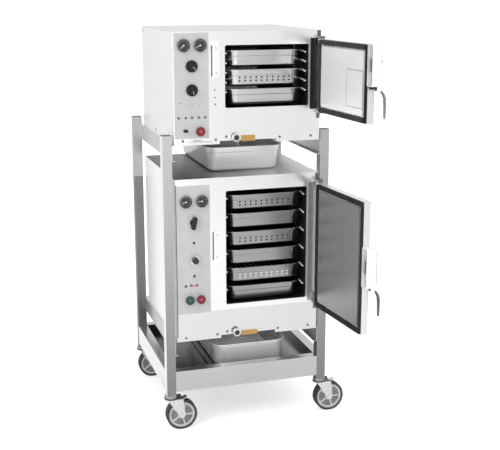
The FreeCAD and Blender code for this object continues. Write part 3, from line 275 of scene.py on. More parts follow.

# painted light and shade on single sheets: low corner, high corner, shade, and how far it fades along each
# axis
paintedShading = {
    # painted shade on the lower casing's top under the upper drip pan, darker to the left; painted shade on
    # the upper casing's left side and painted light on the lower one's; a painted darker reflection on the
    # upper casing's top
    "casing": [
        ((-0.296, -0.33, 1.0412), (0.296, 0.27, 1.0435), 0.008, (0.85, 0, 0)),
        ((-0.296, -0.33, 1.0412), (0.12, 0.27, 1.0435), 0.008, (1, 0, 0)),
        ((-0.2965, -0.4, 1.1), (-0.2945, 0.4, 1.7), 0.84, even),
        ((-0.2965, -0.4, 0.3), (-0.2945, 0.4, 1.1), 1, even),
        ((-0.3, -0.4, 1.6005), (0.3, 0.4, 1.61), 0.66, even),
    ],
    # painted reflections of the open doors on the fronts beside the hinges, and painted shade along the lower
    # front's bottom
    "front": [
        ((0.2535, -0.33, 1.296), (0.2955, -0.3, 1.572), 0.045, even),
        ((0.2535, -0.33, 0.505), (0.2955, -0.3, 1.003), 0.42, even),
        ((-0.3, -0.33, 0.378), (0.3, -0.3, 0.5), 0.72, even),
    ],
    # painted shade on the posts, darkest at the bottom, and on the rear-left post; painted light on the
    # front-left post's left face; near black on the posts' tops
    "post": [
        ((-0.35, -0.33, 0.15), (0.35, 0.33, 1.15), 0.25, (0, 0, 1)),
        ((-0.35, 0.2, 0.15), (-0.29, 0.33, 0.95), 0.2, even),
        ((-0.345, -0.33, 0.15), (-0.3405, 0, 1.2122), 0.95, even),
        ((-0.35, -0.33, 1.2122), (0.35, 0.33, 1.22), 0.02, even),
    ],
    # painted shade on the tray's floor inside, fading to the right, and painted light on the tray's left side
    "tray": [
        ((-0.3025, -0.2765, 0.2), (0.3025, 0.2765, 0.26), 0.05, (0.45, 0, 0)),
        ((-0.345, -0.33, 0.15), (-0.3405, 0.33, 0.26), 0.95, even),
    ],
    # painted shade on the upper gasket's upright at the door's free edge
    "upperGasket": [((0.2, -0.77, 1.2), (0.4, -0.736, 1.6), (0.012, 0.012, 0.013), even)],
    # painted shade standing in for the slot in each latch case
    "latch": [
        ((0.3, -0.7935, 1.432), (0.3055, -0.778, 1.568), 0.02, even),
        ((0.3, -0.7935, 0.7), (0.3055, -0.765, 0.83), 0.03, even),
    ],
    # painted shade in a band below each swivel race
    "fork": [((-1, -1, 0.1335), (1, 1, 0.14), 0.1, even)],
}

# name, tint, shade, roughness, metallic and grain direction, then the grain's scale and strength
metals = {
    "casing": ("casingSteel", 0.95, (0.89, 0.89, 0.895), 0.26, 0.4, alongY),
    "front": ("frontSteel", (0.92, 0.92, 0.915), (0.85, 0.85, 0.845), 0.18, 0.8, alongX),
    # the cabinets' base sheets are painted near black: painted shade under the cabinets
    "base": ("baseSteel", 0.16, 0.1, 0.4, 0.6, alongX),
    "post": ("postSteel", 0.5, 0.43, 0.3, 0.85, alongZ),
    "rail": ("railSteel", 0.72, 0.62, 0.24, 0.9, alongY),
    "tray": ("traySteel", 0.6, 0.52, 0.2, 0.9, alongX),
    # the lower pans are painted darker and the upper pans lighter: painted shade and painted light on one pan
    # steel
    "pan": ("panSteel", 0.4, 0.32, 0.2, 1.0, alongX, 30, 0.03),
    "upperPan": ("upperPanSteel", 0.6, 0.48, 0.18, 1.0, alongX, 30, 0.03),
    # both drip pans are lightened to near white: painted light on pans that stand in shade
    "dripPan": ("dripPanSteel", 0.99, 0.92, 0.2, 0.4, alongX, 30, 0.03),
    "lowerDripPan": ("lowerDripPanSteel", 0.97, 0.88, 0.24, 0.4, alongX, 30, 0.03),
    "wire": ("rackWire", 0.95, 0.85, 0.3, 0.3, alongY, 80, 0.02),
    "plated": ("platedSteel", (0.78, 0.78, 0.79), (0.62, 0.62, 0.63), 0.2, 0.95, anyWay, 60, 0.03),
    "fork": ("forkSteel", (0.82, 0.82, 0.83), (0.66, 0.66, 0.67), 0.24, 0.8, anyWay, 60, 0.03),
    "mount": ("mountSteel", 0.5, 0.36, 0.35, 0.8, anyWay, 60, 0.03),
    "rib": ("hubRib", (0.72, 0.72, 0.73), (0.58, 0.58, 0.59), 0.35, 0.2, anyWay, 200, 0.05),
    "hinge": ("hingeSteel", 0.2, 0.12, 0.3, 0.8, anyWay, 60, 0.05),
    "door": ("doorSteel", 0.87, (0.76, 0.76, 0.765), 0.24, 0.85, alongZ),
    # the upper door's inner panel is painted light and the lower one's dark: painted light and painted shade
    # on one steel
    "upperDoorPanel": ("upperDoorPanelSteel", 0.93, (0.84, 0.84, 0.845), 0.36, 0.5, alongZ, 40, 0.02),
    "lowerDoorPanel": ("lowerDoorPanelSteel", 0.4, 0.33, 0.3, 0.7, alongX, 40, 0.03),
    "latch": ("latchCasting", (0.97, 0.97, 0.975), (0.9, 0.9, 0.905), 0.22, 0.35, anyWay, 120, 0.04),
    # the lower handle is painted darker than the upper: painted shade on one casting
    "upperHandle": (
        "upperHandleCasting", (0.26, 0.26, 0.27), (0.18, 0.18, 0.19), 0.35, 0.5, anyWay, 200, 0.06,
    ),
    "lowerHandle": (
        "lowerHandleCasting", (0.16, 0.16, 0.17), (0.09, 0.09, 0.1), 0.35, 0.5, anyWay, 200, 0.06,
    ),
    "hook": ("hookSteel", 0.3, 0.18, 0.3, 0.85, anyWay, 120, 0.05),
    "strike": ("strikeSteel", 0.95, 0.88, 0.26, 0.6, alongZ),
    "brass": ("brassPlate", (0.62, 0.4, 0.14), (0.42, 0.25, 0.07), 0.3, 0.8, alongX, 90, 0.05),
    "screw": ("screwSteel", 0.3, 0.18, 0.3, 0.85, anyWay, 120, 0.05),
}

# name, tint, shade and roughness, then the coat and the skin's scale and strength
mouldings = {
    # the cavity liners are painted near black: painted shade inside the cabinets
    "liner": ("cavityShade", (0.022, 0.021, 0.021), 0.012, 0.35, 0.2, 60, 0.04),
    "seam": ("sheetSeam", 0.2, 0.13, 0.5),
    "pinkLamp": ("pinkLamp", (0.6, 0.26, 0.24), (0.48, 0.18, 0.16), 0.2, 0.6),
    # the upper gasket is a lighter copy of the lower rubber: painted light on one rubber
    "gasket": ("gasketRubber", (0.03, 0.03, 0.032), (0.018, 0.018, 0.019), 0.6),
    "upperGasket": ("upperGasketRubber", (0.05, 0.05, 0.052), (0.034, 0.034, 0.035), 0.6),
    "black": ("blackKnobPlastic", (0.02, 0.02, 0.021), (0.01, 0.01, 0.011), 0.3, 0.3),
    "overlay": ("overlayPolyester", 0.54, 0.46, 0.42, 0.1, 400, 0.05),
    "ink": ("scaleInk", 0.09, 0.06, 0.5),
    "whiteInk": ("pointerInk", 0.85, 0.75, 0.45),
    "lamp": ("darkLamp", (0.035, 0.03, 0.03), (0.02, 0.016, 0.016), 0.18, 0.6),
    "greyLamp": ("greyLamp", 0.16, 0.1, 0.25, 0.3),
    "brownLamp": ("brownLamp", (0.2, 0.045, 0.03), (0.12, 0.025, 0.02), 0.2, 0.6),
    # pan holes are flat discs: painted shade seen through them, and painted light where light shows through
    "hole": ("panHoleShade", 0.02, 0.01, 0.7),
    "brightHole": ("litPanHole", 0.9, 0.75, 0.4),
    "socket": ("screwSlotShade", 0.05, 0.03, 0.6),
}

finishes = {}
for makeFinish, table in ((metalFinish, metals), (mouldedFinish, mouldings)):
    for name, values in table.items():
        finishes[name] = makeFinish(*values, zones=paintedShading.get(name, ()))

# the dark rubber and plastic reflect little
for name in ("gasket", "upperGasket", "seam", "black"):
    finishes[name].node_tree.nodes["Principled BSDF"].inputs["Specular IOR Level"].default_value = 0.12


def insideRound(tree, centre, radius):
    return useGroup(tree, roundMask, Centre=centre, Across=(1, 0, 1), Radius=radius)


wheelTones = {
    "tread": ((0.018, 0.018, 0.019), (0.035, 0.034, 0.033)),
    "disc": ((0.13, 0.13, 0.135), (0.24, 0.24, 0.25)),
    "core": (0.55, 0.55, 0.56), "hubRadius": 0.0555, "coreRadius": 0.018,
}


# grey hub and black tread on one wheel, told apart by the distance from its axle
def wheelFinish(title, axle):
    form = wheelTones
    material, tree, shader = startMaterial(title)
    hub = insideRound(tree, axle, form["hubRadius"])
    core = insideRound(tree, axle, form["coreRadius"])
    cloud = useGroup(tree, handMarks, Scale=40.0, Contrast=1.5)
    tread = mixColours(tree, cloud, *form["tread"])
    disc = mixColours(tree, cloud, *form["disc"])
    face = mixColours(tree, hub, tread, disc)
    tree.links.new(mixColours(tree, core, face, form["core"]), shader.inputs["Base Color"])
    tree.links.new(mixValues(tree, hub, 0.62, 0.4), shader.inputs["Roughness"])
    tree.links.new(bumpFrom(tree, cloud, 0.15, 0.0006), shader.inputs["Normal"])
    return material


# a turned piece in two tones, the inner one within a radius of its own axis; on the buttons the lighter inner
# tone is a painted highlight
def twoTone(title, centre, radius, inner, outer, innerMetal, outerMetal, roughness):
    material, tree, shader = startMaterial(title)
    inside = insideRound(tree, centre, radius)
    cloud = useGroup(tree, handMarks, Scale=60.0, Contrast=1.0)
    innerFace = mixColours(tree, cloud, inner, tuple(part * 0.8 for part in inner))
    outerFace = mixColours(tree, cloud, outer, tuple(part * 0.88 for part in outer))
    tree.links.new(mixColours(tree, inside, outerFace, innerFace), shader.inputs["Base Color"])
    tree.links.new(mixValues(tree, inside, outerMetal, innerMetal), shader.inputs["Metallic"])
    tree.links.new(mixValues(tree, cloud, roughness * 0.85, roughness * 1.2), shader.inputs["Roughness"])
    return material


def middle(name):
    low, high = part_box(name)
    return (low + high) / 2


levels = ("upper", "lower")
nodeFinish = {
    "stand_posts": "post", "stand_rails": "rail", "bottom_tray": "tray", "caster_mounts": "mount",
    "cabinet_bases": "base", "cabinet_backs": "casing", "control_overlays": "overlay",
    "latch_strikes": "strike", "hinge_brackets": "hinge", "pan_racks": "wire",
    "upper_timer_knob": "black", "upper_mode_knob": "black", "upper_power_switch": "black",
    "lower_selector_knob": "black",
    "upper_door_liner": "upperDoorPanel", "lower_door_liner": "lowerDoorPanel",
    "upper_door_gasket": "upperGasket", "lower_door_gasket": "gasket",
    "upper_latch_handle": "upperHandle", "lower_latch_handle": "lowerHandle",
}
sharedFinish = {
    "casing": "casing", "front_panel": "front", "cavity_liner": "liner", "drip_pan": "dripPan",
    "door_shell": "door", "latch_case": "latch", "latch_hook": "hook",
}
for level in levels:
    for part, finish in sharedFinish.items():
        nodeFinish[level + "_" + part] = finish


def dress(name, material):
    piece = nodes[name]
    if not piece.material_slots:
        piece.data.materials.append(material)
    for spot in piece.material_slots:
        spot.material = material


for name in nodes:
    if name in nodeFinish:
        dress(name, finishes[nodeFinish[name]])
    elif "_pan_" in name:
        dress(name, finishes["pan"])
    elif name.startswith("caster_fork"):
        dress(name, finishes["fork"])
    elif name.startswith("brake_pedal"):
        dress(name, finishes["plated"])
    elif name.startswith("caster_wheel"):
        dress(name, wheelFinish(name + "Finish", middle(name)))

# inner radius, inner and outer colour, inner and outer metallic, roughness
dialTones = (0.0132, (0.02, 0.02, 0.022), (0.8, 0.8, 0.81), 0.0, 0.95, 0.28)
# the lighter centres of the red and green buttons are painted highlights
redTones = (0.006, (0.42, 0.08, 0.11), (0.17, 0.01, 0.022), 0.0, 0.0, 0.26)
greenTones = (0.006, (0.04, 0.16, 0.1), (0.012, 0.055, 0.035), 0.0, 0.0, 0.26)
drainTones = (0.0105, (0.03, 0.03, 0.03), (0.75, 0.75, 0.76), 0.1, 0.95, 0.22)
for name, title, tones in (
    ("lower_timer_knob", "dialKnob", dialTones),
    ("upper_stop_button", "upper_stop_buttonFinish", redTones),
    ("lower_stop_button", "lower_stop_buttonFinish", redTones),
    ("lower_start_button", "lower_start_buttonFinish", greenTones),
    ("upper_drain_knob", "upperDrainKnob", drainTones),
    ("lower_drain_knob", "lowerDrainKnob", drainTones),
):
    dress(name, twoTone(title, middle(name), *tones))


# the gauges share one node: bright bezel outside, dark face inside each
def gaugeFinish(centres, faceRadius):
    material, tree, shader = startMaterial("gaugeFaces")
    inside = insideRound(tree, centres[0], faceRadius)
    for centre in centres[1:]:
        inside = mathNode(tree, "MAXIMUM", inside, insideRound(tree, centre, faceRadius))
    cloud = useGroup(tree, handMarks, Scale=60.0, Contrast=1.0)
    face = mixColours(tree, cloud, (0.028, 0.03, 0.032), (0.018, 0.019, 0.02))
    tree.links.new(mixColours(tree, inside, (0.42, 0.42, 0.43), face), shader.inputs["Base Color"])
    tree.links.new(mixValues(tree, inside, 0.9, 0.0), shader.inputs["Metallic"])
    tree.links.new(mixValues(tree, cloud, 0.2, 0.3), shader.inputs["Roughness"])
    return material


gaugeSettings = {
    "left": 0.041, "pitch": 0.064, "upperRise": 0.3775, "lowerRise": 0.573,
    "faceRadius": 0.0241, "depth": 0.0075,
}
panels = {level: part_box(level + "_front_panel") for level in levels}


# a point on a cabinet's front: from its left edge, above its bottom, in front of the panel
def onFront(level, across, rise, forward=0.0):
    low, high = panels[level]
    return Vector((low.x + across, low.y - forward, low.z + rise))


gaugeCentres = []
for level in levels:
    for count in range(2):
        across = gaugeSettings["left"] + count * gaugeSettings["pitch"]
        gaugeCentres.append(onFront(level, across, gaugeSettings[level + "Rise"], 0.001))
dress("gauge_cases", gaugeFinish(gaugeCentres, gaugeSettings["faceRadius"]))

# a small round on the sharp sheet edges, so that they catch the light
softEdges = {
    "stand_posts": 0.003, "upper_casing": 0.0015, "lower_casing": 0.0015, "bottom_tray": 0.0006,
    "upper_door_shell": 0.0012, "lower_door_shell": 0.0012,
    "upper_latch_case": 0.0008, "lower_latch_case": 0.0008,
    "upper_timer_knob": 0.0008, "upper_mode_knob": 0.0008, "lower_selector_knob": 0.0014,
    "upper_stop_button": 0.0012, "lower_stop_button": 0.0012, "lower_start_button": 0.0012,
}
for name, width in softEdges.items():
    edge = nodes[name].modifiers.new("softEdge", "BEVEL")
    edge.width = width
    edge.segments = 2
    edge.limit_method = "ANGLE"
    edge.angle_limit = math.radians(40)
print("CAD nodes dressed")


# a turned form: profile of (radius, height) pairs spun about an axis that points along facing
def addTurned(bm, centre, profile, facing=Vector((0, -1, 0)), segments=20):
    turn = facing.to_track_quat("Z", "Y").to_matrix()
    rings = []
    for radius, height in profile:
        if radius < 1e-6:
            rings.append([bm.verts.new(centre + turn @ Vector((0, 0, height)))])
            continue
        around = []
        for count in range(segments):
            angle = 2 * math.pi * count / segments
            flat = Vector((radius * math.cos(angle), radius * math.sin(angle), height))
            around.append(bm.verts.new(centre + turn @ flat))
        rings.append(around)
    for first, second in zip(rings, rings[1:]):
        for count in range(segments):
            after = (count + 1) % segments
            if len(first) == 1:
                bm.faces.new((first[0], second[count], second[after]))
            elif len(second) == 1:
                bm.faces.new((first[count], first[after], second[0]))
            else:
                bm.faces.new((first[count], first[after], second[after], second[count]))


# a bar with chamfered edges: middle, spans along its own axes, and how it is turned
def addBar(bm, centre, span, turn=Matrix.Identity(3), chamfer=0.1):
    made = bmesh.ops.create_cube(bm, size=1.0)
    verts = made["verts"]
    for vert in verts:
        vert.co = Vector((vert.co.x * span[0], vert.co.y * span[1], vert.co.z * span[2]))
    edges = list({edge for vert in verts for edge in vert.link_edges})
    cut = bmesh.ops.bevel(bm, geom=edges, offset=min(span) * chamfer, segments=1, affect="EDGES")
    shaped = {vert for face in cut["faces"] for vert in face.verts} | {v for v in verts if v.is_valid}
    for vert in shaped:
        vert.co = centre + turn @ vert.co


# a flat sheet outline in X and Z, given a thickness towards the front
def addPlate(bm, corners, back, thickness):
    near = [bm.verts.new(Vector((x, back - thickness, z))) for x, z in corners]
    far = [bm.verts.new(Vector((x, back, z))) for x, z in corners]
    bm.faces.new(near)
    bm.faces.new(list(reversed(far)))
    for count in range(len(corners)):
        after = (count + 1) % len(corners)
        bm.faces.new((near[count], far[count], far[after], near[after]))


def addObject(name, data):
    made = bpy.data.objects.new(name, data)
    bpy.context.scene.collection.objects.link(made)
    return made


def settle(name, bm, finish, body, smooth=True):
    bmesh.ops.recalc_face_normals(bm, faces=bm.faces)
    mesh = bpy.data.meshes.new(name)
    bm.to_mesh(mesh)
    bm.free()
    piece = addObject(name, mesh)
    mesh.materials.append(finishes[finish])
    if smooth:
        for face in mesh.polygons:
            face.use_smooth = True
        mesh.set_sharp_from_angle(angle=math.radians(35))
    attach(piece, body)
    return piece


screwSettings = {
    "radius": 0.0052, "height": 0.0026, "slotWidth": 0.0011, "slotThick": 0.0006, "strikeFace": 0.003,
    "dome": [(1, 0.35), (0.75, 0.8), (0, 1)], "flatDome": [(1, 0.15), (0.7, 0.27), (0, 0.3)],
}
frontScrews = {
    "upper": [(0.034, 0.017), (0.164, 0.0175), (0.206, 0.028), (0.424, 0.018), (0.554, 0.017)],
    "lower": [(0.035, 0.014), (0.165, 0.017), (0.206, 0.025), (0.422, 0.0175), (0.553, 0.017)],
}
strikeScrews = {"upper": [(0.166, 0.365), (0.166, 0.271)], "lower": [(0.165, 0.433), (0.164, 0.342)]}


# a domed head, its profile given in parts of its radius and height
def addHead(bm, centre, form, dome="dome"):
    radius, height = form["radius"], form["height"]
    profile = [(radius * wide, height * rise) for wide, rise in form[dome]]
    addTurned(bm, centre, [(profile[0][0], 0.0001)] + profile)


def screwHeads():
    form = screwSettings
    heads, strikeHeads, slots = bmesh.new(), bmesh.new(), bmesh.new()
    arm = (form["radius"] * 1.1, form["slotThick"], form["slotWidth"])
    random.seed(4)
    for level in levels:
        for across, rise in strikeScrews[level]:
            addHead(strikeHeads, onFront(level, across, rise, form["strikeFace"]), form, "flatDome")
        for across, rise in frontScrews[level]:
            spot = onFront(level, across, rise)
            addHead(heads, spot, form)
            turn = Matrix.Rotation(random.uniform(0, math.pi), 3, "Y")
            for quarter in (0, math.pi / 2):
                crossed = turn @ Matrix.Rotation(quarter, 3, "Y")
                addBar(slots, spot + Vector((0, -form["height"] * 0.93, 0)), arm, crossed)
    settle("front_screws", heads, "screw", "frame")
    settle("strike_screws", strikeHeads, "plated", "frame")
    settle("front_screw_slots", slots, "socket", "frame", False)


lampSettings = {"radius": 0.0042, "height": 0.0025, "dome": [(1.25, 0.4), (1, 0.5), (0.7, 0.9), (0, 1)]}
lamps = {
    "lamp": [("lower", 0.072, 0.406), ("lower", 0.072, 0.27), ("lower", 0.037, 0.231)],
    "greyLamp": [
        ("upper", 0.019, 0.106), ("upper", 0.047, 0.106), ("upper", 0.071, 0.106), ("upper", 0.098, 0.106),
        ("upper", 0.123, 0.106), ("lower", 0.058, 0.233),
    ],
    "pinkLamp": [("lower", 0.068, 0.2305)],
    "brownLamp": [("lower", 0.082, 0.232)],
}


def indicatorLamps():
    for finish, spots in lamps.items():
        lens = bmesh.new()
        for level, across, rise in spots:
            addHead(lens, onFront(level, across, rise, 0.001), lampSettings)
        settle("control_lamps_" + finish, lens, finish, "frame")


screwHeads()
indicatorLamps()
print("screws and lamps set")


scaleSettings = {"length": 0.005, "width": 0.0012, "thick": 0.0002}
dialScales = [
    ("upper", 0.072, 0.3, 0.0265, 11, 150), ("upper", 0.072, 0.21, 0.0265, 9, 130),
    ("lower", 0.074, 0.337, 0.0235, 11, 150), ("lower", 0.071, 0.488, 0.03, 5, 40),
]


def printedScales():
    form = scaleSettings
    marks = bmesh.new()
    for level, across, rise, radius, count, spread in dialScales:
        centre = onFront(level, across, rise, 0.001 + form["thick"] / 2)
        for step in range(count):
            turn = Matrix.Rotation(math.radians(-spread + 2 * spread * step / (count - 1)), 3, "Y")
            spot = centre + turn @ Vector((0, 0, radius))
            addBar(marks, spot, (form["width"], form["thick"], form["length"]), turn)
    settle("control_scales", marks, "ink", "frame", False)


# angles in degrees from straight up; ticks end at the radius
handSettings = {
    "ticks": 13, "from": -135, "pitch": 22.5, "radius": 0.0205, "tick": (0.0009, 0.0003), "long": 0.004,
    "short": 0.0025, "needle": (0.0016, 0.0004, 0.02), "needleFrom": -130, "needlePitch": 12,
    "hub": [(0.0028, 0.0001), (0.0028, 0.001), (0.0014, 0.0015), (0, 0.0016)],
}


def gaugeHands():
    form = handSettings
    ticks, hands = bmesh.new(), bmesh.new()
    for number, centre in enumerate(gaugeCentres):
        face = centre + Vector((0, -gaugeSettings["depth"] + 0.0009, 0))
        for step in range(form["ticks"]):
            turn = Matrix.Rotation(math.radians(form["from"] + form["pitch"] * step), 3, "Y")
            long = form["long"] if step % 3 == 0 else form["short"]
            spot = face + turn @ Vector((0, 0, form["radius"] - long / 2))
            addBar(ticks, spot, (*form["tick"], long), turn)
        turn = Matrix.Rotation(math.radians(form["needleFrom"] + form["needlePitch"] * number), 3, "Y")
        addBar(hands, face + Vector((0, -0.0008, 0)) + turn @ Vector((0, 0, 0.006)), form["needle"], turn)
        addTurned(hands, face, form["hub"])
    settle("gauge_ticks", ticks, "whiteInk", "frame", False)
    settle("gauge_hands", hands, "whiteInk", "frame")


# the angle that the CAD turned each grip to, and the white line along it
pointerSettings = {
    "turns": {"upper_timer_knob": 135, "upper_mode_knob": 165}, "line": (0.0014, 0.0003, 0.013),
}


def pointerLines():
    for name, angle in pointerSettings["turns"].items():
        line = bmesh.new()
        turn = Matrix.Rotation(math.radians(angle), 3, "Y")
        centre = middle(name)
        centre.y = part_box(name)[0].y - 0.0001
        addBar(line, centre + turn @ Vector((0, 0, 0.009)), pointerSettings["line"], turn)
        settle(name + "_line", line, "whiteInk", name)


printedScales()
gaugeHands()
pointerLines()
print("scales and gauge hands set")


plateSettings = {
    "upper": {"centre": (0.295, 0.019), "size": (0.056, 0.024)},
    "lower": {"centre": (0.299, 0.013), "size": (0.068, 0.02)},
    "thick": 0.0012,
}


def blankPlates():
    plates = bmesh.new()
    thick = plateSettings["thick"]
    for level in levels:
        width, height = plateSettings[level]["size"]
        spot = onFront(level, *plateSettings[level]["centre"], thick / 2 + 0.00005)
        addBar(plates, spot, (width, thick, height), chamfer=0.3)
    settle("drain_plates", plates, "brass", "frame", False)


stripSettings = {"centre": (0.1045, 0.015), "size": (0.091, 0.005, 0.006)}


def overlayStrip():
    strip = bmesh.new()
    size = stripSettings["size"]
    addBar(strip, onFront("upper", *stripSettings["centre"], size[1] / 2), size, chamfer=0.35)
    settle("overlay_strip", strip, "plated", "frame", False)


blankPlates()
overlayStrip()
print("front plates set")


# steam table pans, from the rim down: inset from the rim's edge and height below it, in metres
panSettings = {
    "rimCorner": 0.054, "leastCorner": 0.012, "cornerSteps": 8, "flange": 0.009, "lip": 0.004, "sheet": 0.001,
    "band": 0.023, "step": 0.0035, "bend": 0.0016, "taper": 0.005, "taperDepth": 0.065, "floorRound": 0.013,
    "floorSteps": 5,
}
holeSettings = {
    "radius": 0.0037, "sides": 10, "lift": 0.0003, "pitch": 0.0225, "across": 10, "along": 18,
    "drops": (0.031, 0.044),
}
# the holes are painted shade, and on lower_pan_5 painted light
perforated = {
    "upper_pan_2": "hole", "lower_pan_1": "hole", "lower_pan_3": "hole", "lower_pan_5": "brightHole",
}


# one side of the sheet from the flange's inner edge to the floor, with every bend rounded
def panWall(depth, skin):
    form = panSettings
    bend = form["bend"]
    band = form["flange"] + skin
    ledge = skin - form["band"]
    top = skin - form["sheet"]
    wall = band + form["step"]
    drop = depth - form["band"]
    slope = form["taper"] * depth / form["taperDepth"] / drop
    path = [
        (band - bend, top), (band - bend * 0.3, top - bend * 0.3), (band, top - bend),
        (band, ledge + bend), (band + bend * 0.3, ledge + bend * 0.3), (band + bend, ledge),
        (wall - bend * 0.6, ledge), (wall - bend * 0.1, ledge - bend * 0.5),
        (wall + slope * bend * 1.5, ledge - bend * 1.5),
    ]
    radius = form["floorRound"] - skin
    floor = skin - depth
    foot = wall + slope * (drop - form["floorRound"])
    for step in range(form["floorSteps"] + 1):
        angle = math.radians(90 * step / form["floorSteps"])
        path.append((foot + radius * (1 - math.cos(angle)), floor + radius * (1 - math.sin(angle))))
    return path


# the points of a rounded rectangle drawn inset from two corners
def roundedRing(low, high, inset, corner, least, steps):
    bend = max(corner - inset, least)
    left, right = low[0] + inset + bend, high[0] - inset - bend
    bottom, top = low[1] + inset + bend, high[1] - inset - bend
    ring = []
    for first, second, start in ((right, top, 0), (left, top, 90), (left, bottom, 180), (right, bottom, 270)):
        for step in range(steps + 1):
            angle = math.radians(start + 90 * step / steps)
            ring.append((first + bend * math.cos(angle), second + bend * math.sin(angle)))
    return ring


def bridgeRings(bm, pairs):
    for first, second in pairs:
        for count in range(len(first)):
            after = (count + 1) % len(first)
            bm.faces.new((first[count], first[after], second[after], second[count]))


def steamPan(name, finish):
    low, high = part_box(name)
    form = panSettings
    depth = high.z - low.z
    sheet, lip = form["sheet"], form["lip"]
    rim = [(sheet, -lip), (0.0003, -lip), (0, -lip * 0.8), (0, -0.0016), (0.0005, -0.0005), (0.0016, 0)]
    section = panWall(depth, 0)[::-1] + [(sheet, -sheet)] + rim + panWall(depth, sheet)
    bm = bmesh.new()
    rings = []
    for inset, height in section:
        ring = roundedRing(low, high, inset, form["rimCorner"], form["leastCorner"], form["cornerSteps"])
        rings.append([bm.verts.new((x, y, high.z + height)) for x, y in ring])
    bridgeRings(bm, zip(rings, rings[1:]))
    bm.faces.new(rings[0])
    bm.faces.new(rings[-1])
    pan = settle(name + "_pressed", bm, finish, name)
    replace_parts(pan, name)


def addHole(bm, centre, facing):
    turn = Vector(facing).to_track_quat("Z", "Y").to_matrix()
    around = []
    for count in range(holeSettings["sides"]):
        angle = 2 * math.pi * count / holeSettings["sides"]
        flat = Vector((math.cos(angle), math.sin(angle), 0)) * holeSettings["radius"]
        around.append(bm.verts.new(Vector(centre) + turn @ flat))
    bm.faces.new(around)


# places of holes in a row, even about its middle
def holeRow(low, high, count):
    return [(low + high) / 2 + (place - (count - 1) / 2) * holeSettings["pitch"] for place in range(count)]


def panHoles(name, finish):
    low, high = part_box(name)
    form = panSettings
    lift = holeSettings["lift"]
    slope = form["taper"] / (form["taperDepth"] - form["band"])
    columns = holeRow(low.x, high.x, holeSettings["across"])
    rows = holeRow(low.y, high.y, holeSettings["along"])
    holes = bmesh.new()
    for drop in holeSettings["drops"]:
        inset = form["flange"] + form["step"] + slope * (drop - form["band"])
        height = high.z - drop
        for outer in (-1, 1):
            skin = inset - lift if outer < 0 else inset + form["sheet"] + lift
            for x in columns:
                addHole(holes, (x, low.y + skin, height), (0, outer, slope * outer))
                addHole(holes, (x, high.y - skin, height), (0, -outer, slope * outer))
            for y in rows:
                addHole(holes, (low.x + skin, y, height), (outer, 0, slope * outer))
                addHole(holes, (high.x - skin, y, height), (-outer, 0, slope * outer))
    for x in columns:
        for y in rows:
            addHole(holes, (x, y, low.z - lift), (0, 0, -1))
            addHole(holes, (x, y, low.z + form["sheet"] + lift), (0, 0, 1))
    settle(name + "_holes", holes, finish, name, False)


for name in nodes:
    if "drip_pan" in name:
        steamPan(name, "dripPan" if name.startswith("upper") else "lowerDripPan")
    elif "_pan_" in name:
        steamPan(name, "upperPan" if name.startswith("upper") else "pan")
for name, finish in perforated.items():
    panHoles(name, finish)
print("pans and their holes set")


# a round or flattened wire along points that lie in a plane across side
def addWire(bm, points, radii, side, sides=10):
    rings = []
    for number, point in enumerate(points):
        before, after = points[max(number - 1, 0)], points[min(number + 1, len(points) - 1)]
        up = (after - before).normalized().cross(side)
        wide, thick = radii[number]
        ring = []
        for count in range(sides):
            angle = 2 * math.pi * count / sides
            ring.append(bm.verts.new(point + side * wide * math.cos(angle) + up * thick * math.sin(angle)))
        rings.append(ring)
    bridgeRings(bm, zip(rings, rings[1:]))
    bm.faces.new(rings[0])
    bm.faces.new(rings[-1])


rackSettings = {
    "across": (-0.084, 0.238), "upright": (-0.09, 0.244), "uprightAlong": (-0.157, 0.043),
    "radius": 0.003, "tipRadius": 0.002, "front": -0.307, "back": 0.193, "underRim": 0.0073,
    "droop": [(0, 0.0034), (0.01, 0.0034), (0.016, 0.0027), (0.022, 0.0012), (0.028, 0.0003), (0.032, 0)],
    "upperSpan": (1.306, 1.536), "lowerSpan": (0.515, 0.973),
}


# rack wires whose front ends bend down, on uprights set well back
def panRacks():
    form = rackSettings
    rack = bmesh.new()
    side = Vector((1, 0, 0))
    thick, tip = (form["radius"],) * 2, (form["tipRadius"],) * 2
    for level in levels:
        pans = [name for name in nodes if name.startswith(level + "_pan_")]
        rises = sorted(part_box(name)[1].z - form["underRim"] for name in pans)
        if level == "upper":
            rises += [(first + second) / 2 for first, second in zip(rises, rises[1:])]
        for x in form["across"]:
            for rise in rises:
                path = [Vector((x, form["front"] + along, rise - drop)) for along, drop in form["droop"]]
                path.append(Vector((x, form["back"], rise)))
                addWire(rack, path, [thick] * len(path), side)
        low, high = form[level + "Span"]
        for x in form["upright"]:
            for along in form["uprightAlong"]:
                path = [Vector((x, along, height)) for height in (low, high - 0.002, high)]
                addWire(rack, path, [thick, thick, tip], side)
    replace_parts(settle("pan_racks_wire", rack, "wire", "frame"), "pan_racks")


panRacks()
print("racks set")


doorSettings = {"turn": 95.6, "hinge": (0.291, -0.354)}
doorTurn = Matrix.Rotation(math.radians(doorSettings["turn"]), 3, "Z")
doorAcross = doorTurn @ Vector((1, 0, 0))


# a point on a door: from its hinge along it, towards its inner face, and up
def onDoor(along, inward, height):
    return Vector((*doorSettings["hinge"], 0)) + doorTurn @ Vector((along, inward, height))


gasketSettings = {
    "left": -0.403, "right": -0.025, "upper": (1.292, 1.57), "lower": (0.501, 1.007),
    "corner": 0.01, "least": 0.004, "cornerSteps": 4, "slim": 0.3,
    "section": [
        (0, 0.0251), (0, 0.03), (0.0012, 0.0322), (0.0035, 0.0327), (0.008, 0.0318), (0.01, 0.0295),
        (0.012, 0.0312), (0.0155, 0.0322), (0.0185, 0.031), (0.0195, 0.029), (0.0195, 0.0251),
    ],
}


